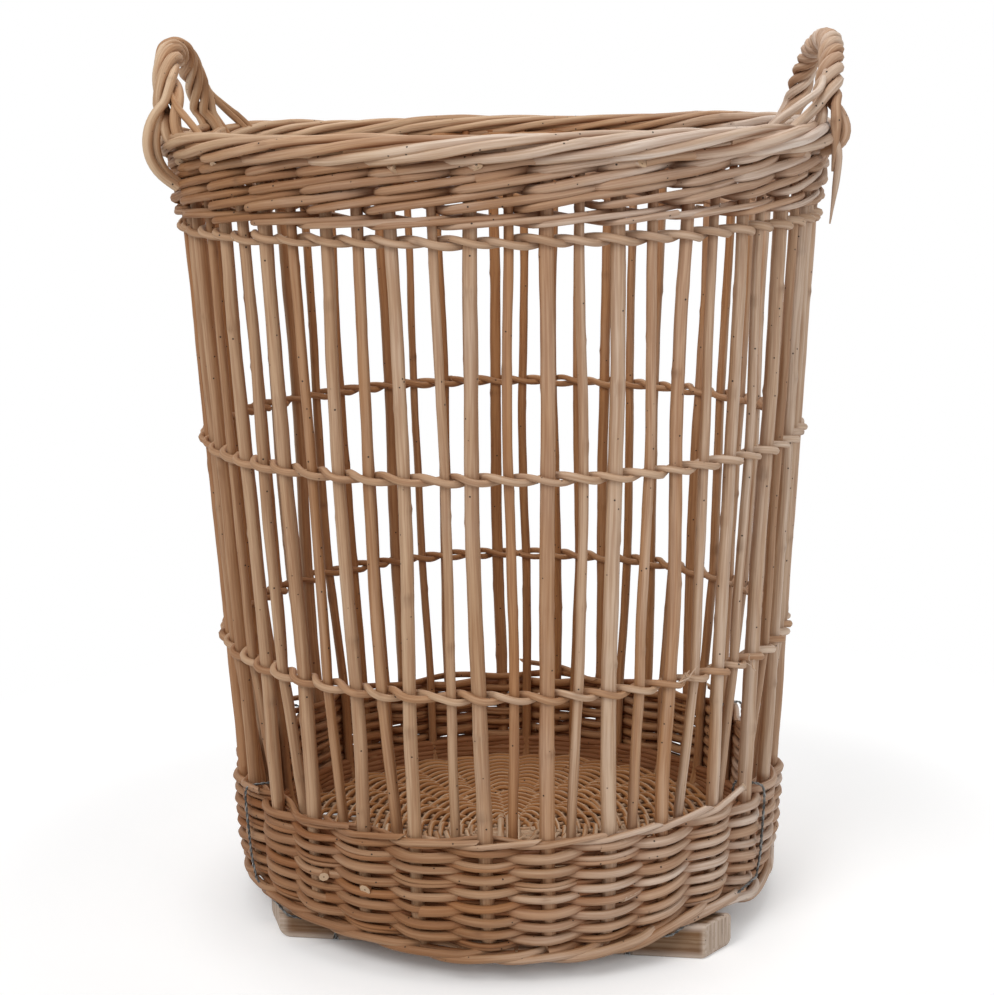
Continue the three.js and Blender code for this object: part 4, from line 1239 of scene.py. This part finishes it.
class BASKET_OT_handle_ends(bpy.types.Operator):
    """Lay the brace rods beside the handles and hang the loose pointed end"""

    bl_idname = "basket.handle_ends"
    bl_label = "Lay the Handle Ends"

    def execute(self, context):
        sizes, colours = settings(context)
        material = willow("Handle Willow", colours)
        thick = sizes.handle_strand * 0.78
        for side, end, reach, fans, shares, seed in (
            ("left", "back", 9.6, (0.0, -1.9), (0.74, 0.62, 0.5), 750),
            ("right", "front", 16.0, (0.0, -1.8), (0.76, 0.62, 0.48), 751),
        ):
            rods = RodBundle(seed)
            for number, fan in enumerate(fans):
                line = brace_line(side, end, reach, fan, 0.0070 - 0.002 * number, shares, thick)
                rods.lay(line, thick * 0.9, thick, start="tip", knots=0.06)
            rods.finish(f"{side}_handle_brace_rod", material, "border", f"{side}_handle_brace")
        rods = RodBundle(760)
        angle = -HANDLE_HALF_SPAN - 0.0045 / BORDER_RING
        ring = BORDER_RING + BORDER_HALF_WIDTH
        hang = [
            polar(ring + 0.001, angle + 0.012, BORDER_Z - 0.004),
            polar(ring + 0.005, angle + 0.008, BORDER_Z - 0.012),
            polar(ring + 0.003, angle + 0.006, BORDER_Z - 0.034),
            polar(ring - 0.0005, angle - 0.004, BORDER_Z - 0.064),
        ]
        rods.lay(soften(hang, 0.002, 8), thick * 1.05, thick * 0.75, start="hidden", end="tip", knots=0.05)
        rods.finish("right_handle_loose_rod", material, "border", "right_handle_loose_end")
        return {"FINISHED"}


class BASKET_OT_base(bpy.types.Operator):
    """Cross the base sticks and weave the round floor over them"""

    bl_idname = "basket.base"
    bl_label = "Weave the Base"

    def execute(self, context):
        sizes, colours = settings(context)
        material = willow("Base Willow", colours)
        self.sticks(material)
        rods = RodBundle(801)
        rod = sizes.floor_rod
        for way in range(2):
            for n in range(3):
                offset = (n - 1) * 0.0068
                z = FLOOR_Z + (0.0016 if way else -0.0012)
                line = [(x, offset, z) if way == 0 else (offset, x, z) for x in (-0.031, 0.0, 0.031)]
                rods.lay(line, 0.0056, 0.0056, tone=0.75)
        inner_ribs, outer_ribs = 17, 35
        for ribs, inner, outer, thick in (
            (outer_ribs, 0.088, FLOOR_RADIUS - 0.001, 0.0034),
            (inner_ribs, 0.016, 0.100, 0.0036),
        ):
            for n in range(ribs):
                line = polar([inner, outer], 2 * math.pi * n / ribs, FLOOR_Z)
                rods.lay(line, thick, 0.0034, step=0.02, sides=6, knots=0.0)
        self.weave(rods, rod, inner_ribs, 0.020, 0.0965)
        self.weave(rods, rod, outer_ribs, 0.0945, FLOOR_RADIUS - rod / 2)
        rods.finish("woven_floor", material, "base", "base_floor")
        return {"FINISHED"}

    def sticks(self, material):
        """Three sticks across three, fanned out towards their ends."""
        sticks = RodBundle(800)
        near = FLOOR_RADIUS * 0.3
        for way in range(2):
            for n in range(3):
                offset = (n - 1) * 0.013
                fan = offset * 3.4
                far = math.sqrt((FLOOR_RADIUS - 0.002) ** 2 - fan**2)
                knots = [(-far, fan), (-near, offset), (near, offset), (far, fan)]
                line = [(x, y, STICK_Z) if way == 0 else (y, x, STICK_Z) for x, y in knots]
                sticks.lay(soften(line, 0.004, 10), 0.0052, 0.0050, tone=0.4)
        sticks.finish("base_stick_rods", material, "base", "base_sticks")

    def weave(self, rods, rod, ribs, inner, outer):
        """Rods woven over and under the ribs, round and round from the inner ring to the outer."""
        rows = (outer - inner) / rod
        at = 0.0
        while at < rows:
            last = min(at + 0.85 / (2 * math.pi * (inner + (outer - inner) * at / rows)), rows)
            turn = np.linspace(at, last, int((last - at) * ribs * 7) + 3)
            radius = inner + (outer - inner) * turn / rows + 0.0002 * ripple(turn, 0.3, rods.random)
            z = FLOOR_Z + (rod / 2 + FLOOR_ROW_OVERLAP) * np.cos(math.pi * turn * ribs)
            swell = rods.random.uniform(0.9, 1.08)
            line = polar(radius, 2 * math.pi * turn, z)
            rods.lay(line, rod * 1.08 * swell, rod * 0.88 * swell, sides=6, step=0.0036, knots=0.0)
            at = last


def board_section():
    """Outline of a runner's section with rounded corners: distance from its back face, and height."""
    wide, high = RUNNER_WIDTH - BOARD_WEAR, RUNNER_HEIGHT - BOARD_WEAR
    outline = []
    corners = ((wide, high), (BOARD_WEAR, high), (BOARD_WEAR, BOARD_WEAR), (wide, BOARD_WEAR))
    for n, (x, z) in enumerate(corners):
        for step in range(4):
            turn = math.radians(90.0 * n + 30.0 * step)
            outline.append((x + BOARD_WEAR * math.cos(turn), z + BOARD_WEAR * math.sin(turn)))
    full = []
    for here, after in zip(outline, outline[1:] + outline[:1]):
        pieces = max(1, int(math.dist(here, after) / 0.0035))
        for share in (m / pieces for m in range(pieces)):
            full.append([here[i] + (after[i] - here[i]) * share for i in range(2)])
    return np.array(full)


def board_stations():
    """Places along a runner: even in its straight middle, and closer at the saw cuts and the ends."""
    middle = {round(v, 5) for v in np.linspace(-BOARD_STRAIGHT, BOARD_STRAIGHT, 51)}
    for cut in (-TIE_RUNNER_X - RUNNER_SHIFT, TIE_RUNNER_X - RUNNER_SHIFT):
        middle |= {round(cut + v, 5) for v in (-0.0021, -SAW_CUT_HALF, SAW_CUT_HALF, 0.0021)}
    shares = (0.15, 0.3, 0.45, 0.6, 0.72, 0.82, 0.9, 0.955, 0.985, 1.0)
    ends = [BOARD_STRAIGHT + (RUNNER_HALF_BACK - BOARD_STRAIGHT) * share for share in shares]
    return np.array([-v for v in ends[::-1]] + sorted(middle) + ends)


class BASKET_OT_runners(bpy.types.Operator):
    """Cut and wear the two wooden runners under the base"""

    bl_idname = "basket.runners"
    bl_label = "Cut the Runners"

    def execute(self, context):
        _, colours = settings(context)
        material = runner_board(colours)
        for name, turn, seed in (("front_runner", 0.0, 900), ("back_runner", math.pi, 901)):
            self.board(name, RUNNER_TURN + turn, np.random.default_rng(seed), material)
        return {"FINISHED"}

    def board(self, name, turn, random, material):
        depth, height = board_section().T
        stations = board_stations()
        size = np.abs(stations)[:, None]
        beyond = np.clip((size - BOARD_STRAIGHT) / (RUNNER_HALF_BACK - BOARD_STRAIGHT), 0.0, 1.0)
        half_long = RUNNER_HALF_BACK + (RUNNER_HALF_FACE - RUNNER_HALF_BACK) * depth / RUNNER_WIDTH
        worn = 0.0045 * (stations < 0.0)[:, None] * (1.0 - depth / RUNNER_WIDTH)[None, :]
        half_long = half_long[None, :] - worn
        straight = np.minimum(size, BOARD_STRAIGHT)
        x = np.sign(stations)[:, None] * (straight + beyond * (half_long - BOARD_STRAIGHT))

        # Rounded lower edges at the ends, and the saw cuts for the wires
        corner = np.where(stations > 0.0, 0.0045, 0.0095)[:, None]
        into = np.clip((np.abs(x) - (half_long - corner)) / corner, 0.0, 1.0)
        lower = corner * (1.0 - np.sqrt(1.0 - into**2))
        z = lower + (1.0 - lower / RUNNER_HEIGHT) * height[None, :]
        groove = (np.abs(np.abs(x + RUNNER_SHIFT) - TIE_RUNNER_X) < 0.00205) & (height[None, :] < 0.004)
        z = np.where(groove, SAW_CUT_DEPTH, z)

        # Worn rims at the ends, and faces that are slightly uneven
        back = RUNNER_FACE - RUNNER_WIDTH
        y = np.broadcast_to(-(back + depth)[None, :], x.shape)
        trim = np.clip((beyond - 0.955) / 0.045, 0.0, 1.0)
        y = y + (-(back + RUNNER_WIDTH / 2) - y) * 0.12 * trim
        z = z + (RUNNER_HEIGHT / 2 - z) * 0.10 * trim
        scratch = 0.00035 * ripple(x + 3.1 * height[None, :] + 1.7 * depth[None, :], 0.021, random)
        on_side = (height[None, :] > 0.003) & (height[None, :] < RUNNER_HEIGHT - 0.003)
        inward = np.sign(depth - RUNNER_WIDTH / 2)[None, :]
        y = y + np.where(on_side, inward * (0.0004 + scratch), 0.0)

        local = np.stack([x + RUNNER_SHIFT, y, z], axis=-1)
        c, s = math.cos(turn), math.sin(turn)
        world = local @ np.array([[c, s, 0.0], [-s, c, 0.0], [0.0, 0.0, 1.0]])
        near_face = np.abs(depth - RUNNER_WIDTH / 2) > RUNNER_WIDTH / 2 - 0.0024
        near_top = np.abs(height - RUNNER_HEIGHT / 2) > RUNNER_HEIGHT / 2 - 0.0024
        marks = np.zeros(local.shape)
        marks[:, :, 0] = (near_face & near_top)[None, :]
        marks[:, :, 1] = np.clip((into - 0.1) / 0.5, 0.0, 1.0)
        shift = random.uniform(0.0, 2.0, 3)
        skin = Skin()
        skin.wall(world, local + shift, marks, 0.5, flip=True)
        end_grain = (0.0, 1.0, 0.0)
        for row, flip in ((0, False), (len(stations) - 1, True)):
            across_grain = local[row][:, [2, 1, 0]] * 2.4 + shift
            skin.cap(world[row], across_grain, end_grain, end_grain, 0.5, flip)
        skin.finish(f"{name}_board", material, "runner", name)


class BASKET_OT_wire_ties(bpy.types.Operator):
    """Twist the four wire ties that hold the runners to the foot band"""

    bl_idname = "basket.wire_ties"
    bl_label = "Twist the Wire Ties"

    def execute(self, context):
        sizes, colours = settings(context)
        material = tie_wire(colours)
        for number, (name, degrees, sideways, turn) in enumerate(TIES):
            rods = RodBundle(950 + number)
            self.twist(rods, self.route(math.radians(degrees), sideways, turn), sizes.wire)
            rods.finish(f"{name}_wires", material, "wire", name)
        return {"FINISHED"}

    def route(self, angle, sideways, turn):
        """The way of a tie, from inside the foot band over its top, down its outside and round the runner."""
        down = FRONT + (math.floor((angle - FRONT) / STAKE_STEP) + 0.5) * STAKE_STEP
        axis = RUNNER_TURN + turn + (0.0 if sideways > 0 else math.pi)
        c, s = math.cos(RUNNER_TURN + turn), math.sin(RUNNER_TURN + turn)

        def inner(z):
            return float(stake_ring(z)) - 0.0090 - 0.0030 - TIE_FIT - TIE_HALF

        def outer(z):
            return float(stake_ring(z)) + 0.0106 + TIE_FIT + TIE_HALF

        def around(degrees):
            return axis - sideways * math.radians(degrees)

        def at_runner(y, z):
            x, y = sideways * TIE_RUNNER_X, -y
            return np.array([x * c - y * s, x * s + y * c, z])

        over = BAND_TOP + TIE_HALF + TIE_FIT
        above = BAND_FLOOR + TIE_HALF + TIE_FIT
        face = RUNNER_FACE + TIE_HALF + TIE_FIT
        behind = RUNNER_FACE - RUNNER_WIDTH - TIE_HALF - TIE_FIT
        under = TIE_HALF + TIE_FIT / 2
        low = polar(outer(BAND_FLOOR + 0.012), down, BAND_FLOOR + 0.012)
        corner = polar(outer(above) + 0.0015, around(43.0), above)
        halfway = (low + corner) / 2
        swell = (outer(BAND_FLOOR + 0.006) + 0.0015) / math.hypot(halfway[0], halfway[1])
        upright = [
            polar(inner(BAND_TOP - 0.024), down, BAND_TOP - 0.024),
            polar(inner(BAND_TOP), down, over - 0.001),
            polar(outer(BAND_TOP) - 0.001, down, over),
            polar(outer(BAND_TOP), down, BAND_TOP - 0.006),
            polar(outer(BULGE_Z), down, BULGE_Z),
            low,
        ]
        round_runner = [
            low,
            halfway * np.array([swell, swell, 1.0]),
            corner,
            polar(outer(BAND_FLOOR) + 0.001, around(47.0), BAND_FLOOR - TIE_HALF - 0.003),
            at_runner(face, RUNNER_HEIGHT / 2),
            at_runner(face, under),
            at_runner(behind, under),
            at_runner(behind, RUNNER_HEIGHT - 0.002),
        ]
        line = np.vstack([soften(upright, 0.001, 30), soften(round_runner, 0.001, 6)[1:]])
        return line, polar(1.0, down, 0.35)

    def twist(self, rods, route, wire):
        """Two wires that turn round each other along a tie's way."""
        line, guide = route
        tangent = unit(np.gradient(line, axis=0))
        side = unit(np.cross(tangent, guide))
        other = np.cross(tangent, side)
        along = 0.001 * np.arange(len(line))
        for phase in (0.0, math.pi):
            turn = phase + 2 * math.pi * along / TIE_COIL_PITCH
            coil = line + side * (TIE_COIL * np.cos(turn))[:, None]
            coil = coil + other * (TIE_COIL * np.sin(turn))[:, None]
            rods.lay(coil, wire, wire, sides=6, step=0.0014, knots=0.0, slant=0.1)


class BASKET_OT_stage(bpy.types.Operator):
    """Set the pale floor, the soft light and the camera"""

    bl_idname = "basket.stage"
    bl_label = "Set the Stage"

    def execute(self, context):
        _, colours = settings(context)
        scene = context.scene
        scene.view_settings.view_transform = "Standard"
        self.floor(scene, colours)
        self.light(scene)
        self.camera(scene)
        return {"FINISHED"}

    def floor(self, scene, colours):
        """A pale floor that fades into the backdrop's glow away from the basket."""
        reach = 14.0
        corners = [(-reach, -reach, 0), (reach, -reach, 0), (reach, reach, 0), (-reach, reach, 0)]
        mesh = bpy.data.meshes.new("studio_floor")
        mesh.from_pydata(corners, [], [(0, 1, 2, 3)])
        floor = bpy.data.objects.new("studio_floor", mesh)
        scene.collection.objects.link(floor)
        floor.location.z = -0.0002
        material = bpy.data.materials.new("Studio Floor")
        tree = clear_tree(material)
        matt = plug(tree, add_node(tree, "ShaderNodeBsdfDiffuse"), {"Color": opaque(colours.backdrop)})
        seen = add_node(tree, "ShaderNodeLightPath").outputs["Is Camera Ray"]
        position = add_node(tree, "ShaderNodeNewGeometry").outputs["Position"]
        away = add_node(tree, "ShaderNodeVectorMath", operation="LENGTH")
        away = plug(tree, away, {0: position}).outputs["Value"]
        far = ramp(tree, away, 0.24, 0.75)
        lift = times(tree, ramp(tree, away, 0.16, 0.23), ramp(tree, far, 0.0, 1.0, 0.30, 1.0))
        glow = plug(tree, add_node(tree, "ShaderNodeEmission"), {"Strength": times(tree, lift, seen)})
        near = plug(tree, add_node(tree, "ShaderNodeAddShader"), {0: matt.outputs[0], 1: glow.outputs[0]})
        shares = {0: times(tree, far, seen), 1: near.outputs[0], 2: glow.outputs[0]}
        fade = plug(tree, add_node(tree, "ShaderNodeMixShader"), shares)
        plug(tree, add_node(tree, "ShaderNodeOutputMaterial"), {0: fade.outputs[0]})
        mesh.materials.append(material)

    def light(self, scene):
        """A white backdrop that lights the basket with about half its brightness, and three soft lamps."""
        world = bpy.data.worlds.new("Studio")
        tree = clear_tree(world)
        rays = add_node(tree, "ShaderNodeLightPath").outputs
        shown = plus(tree, rays["Is Camera Ray"], rays["Is Glossy Ray"])
        shown = plus(tree, shown, rays["Is Transmission Ray"], clamp=True)
        level = plus(tree, times(tree, shown, 0.52), 0.48)
        glow = add_node(tree, "ShaderNodeBackground")
        plug(tree, glow, {"Color": (1.0, 1.0, 1.0, 1.0), "Strength": level})
        plug(tree, add_node(tree, "ShaderNodeOutputWorld"), {0: glow.outputs[0]})
        scene.world = world
        for name, place, aim, size, power in (
            ("Key", (-1.3, -2.2, 2.5), (0.0, 0.0, 0.35), 1.6, 46.0),
            ("Fill", (2.2, -1.9, 1.5), (0.0, 0.0, 0.3), 2.2, 17.0),
            ("Top", (0.2, 0.7, 2.7), (0.0, 0.0, 0.3), 1.8, 22.0),
        ):
            lamp = bpy.data.lights.new(name, "AREA")
            lamp.shape = "DISK"
            lamp.size = size
            lamp.energy = power
            lamp_object = bpy.data.objects.new(name, lamp)
            lamp_object.location = place
            direction = Vector(aim) - Vector(place)
            lamp_object.rotation_euler = direction.to_track_quat("-Z", "Y").to_euler()
            scene.collection.objects.link(lamp_object)

    def camera(self, scene):
        """The camera that was fitted to the rings of the basket in the photo."""
        pitch, roll, yaw = math.radians(11.94), math.radians(-0.944), math.radians(-0.193)
        focal_pixels, photo_pixels, sensor = 2061.0, 995.0, 36.0
        forward = Vector((math.sin(yaw) * math.cos(pitch), math.cos(yaw) * math.cos(pitch), -math.sin(pitch)))
        right = Vector((math.cos(yaw), -math.sin(yaw), 0.0))
        up = right.cross(forward)
        turned_right = math.cos(roll) * right + math.sin(roll) * up
        turned_up = -math.sin(roll) * right + math.cos(roll) * up
        view = Matrix((turned_right, turned_up, -forward)).transposed().to_4x4()
        view.translation = Vector((0.0, -1.610, 0.660))
        lens = bpy.data.cameras.new("View")
        lens.sensor_fit = "AUTO"
        lens.sensor_width = sensor
        lens.lens = focal_pixels / photo_pixels * sensor
        camera = bpy.data.objects.new("View", lens)
        camera.matrix_world = view
        scene.collection.objects.link(camera)
        scene.camera = camera


OPERATORS = (
    BASKET_OT_stage,
    BASKET_OT_stakes,
    BASKET_OT_foot_band,
    BASKET_OT_fitched_rows,
    BASKET_OT_wale,
    BASKET_OT_border,
    BASKET_OT_handles,
    BASKET_OT_handle_ends,
    BASKET_OT_base,
    BASKET_OT_runners,
    BASKET_OT_wire_ties,
)


class BASKET_PT_panel(bpy.types.Panel):
    """Sizes, colours and building steps of the basket"""

    bl_idname = "BASKET_PT_panel"
    bl_label = "Baguette Basket"
    bl_space_type = "VIEW_3D"
    bl_region_type = "UI"
    bl_category = "Basket"

    def draw(self, context):
        layout = self.layout
        for group in settings(context):
            box = layout.box()
            for key in group.__annotations__:
                box.prop(group, key)
        column = layout.column()
        for operator in OPERATORS:
            column.operator(operator.bl_idname)


CLASSES = (BasketSizes, BasketColours, *OPERATORS, BASKET_PT_panel)


def register():
    for cls in CLASSES:
        bpy.utils.register_class(cls)
    bpy.types.Scene.basket_sizes = PointerProperty(type=BasketSizes)
    bpy.types.Scene.basket_colours = PointerProperty(type=BasketColours)


def unregister():
    del bpy.types.Scene.basket_colours
    del bpy.types.Scene.basket_sizes
    for cls in reversed(CLASSES):
        bpy.utils.unregister_class(cls)


def main():
    register()
    for operator in OPERATORS:
        family, action = operator.bl_idname.split(".")
        getattr(getattr(bpy.ops, family), action)()
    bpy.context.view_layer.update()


if __name__ == "__main__":
    main()
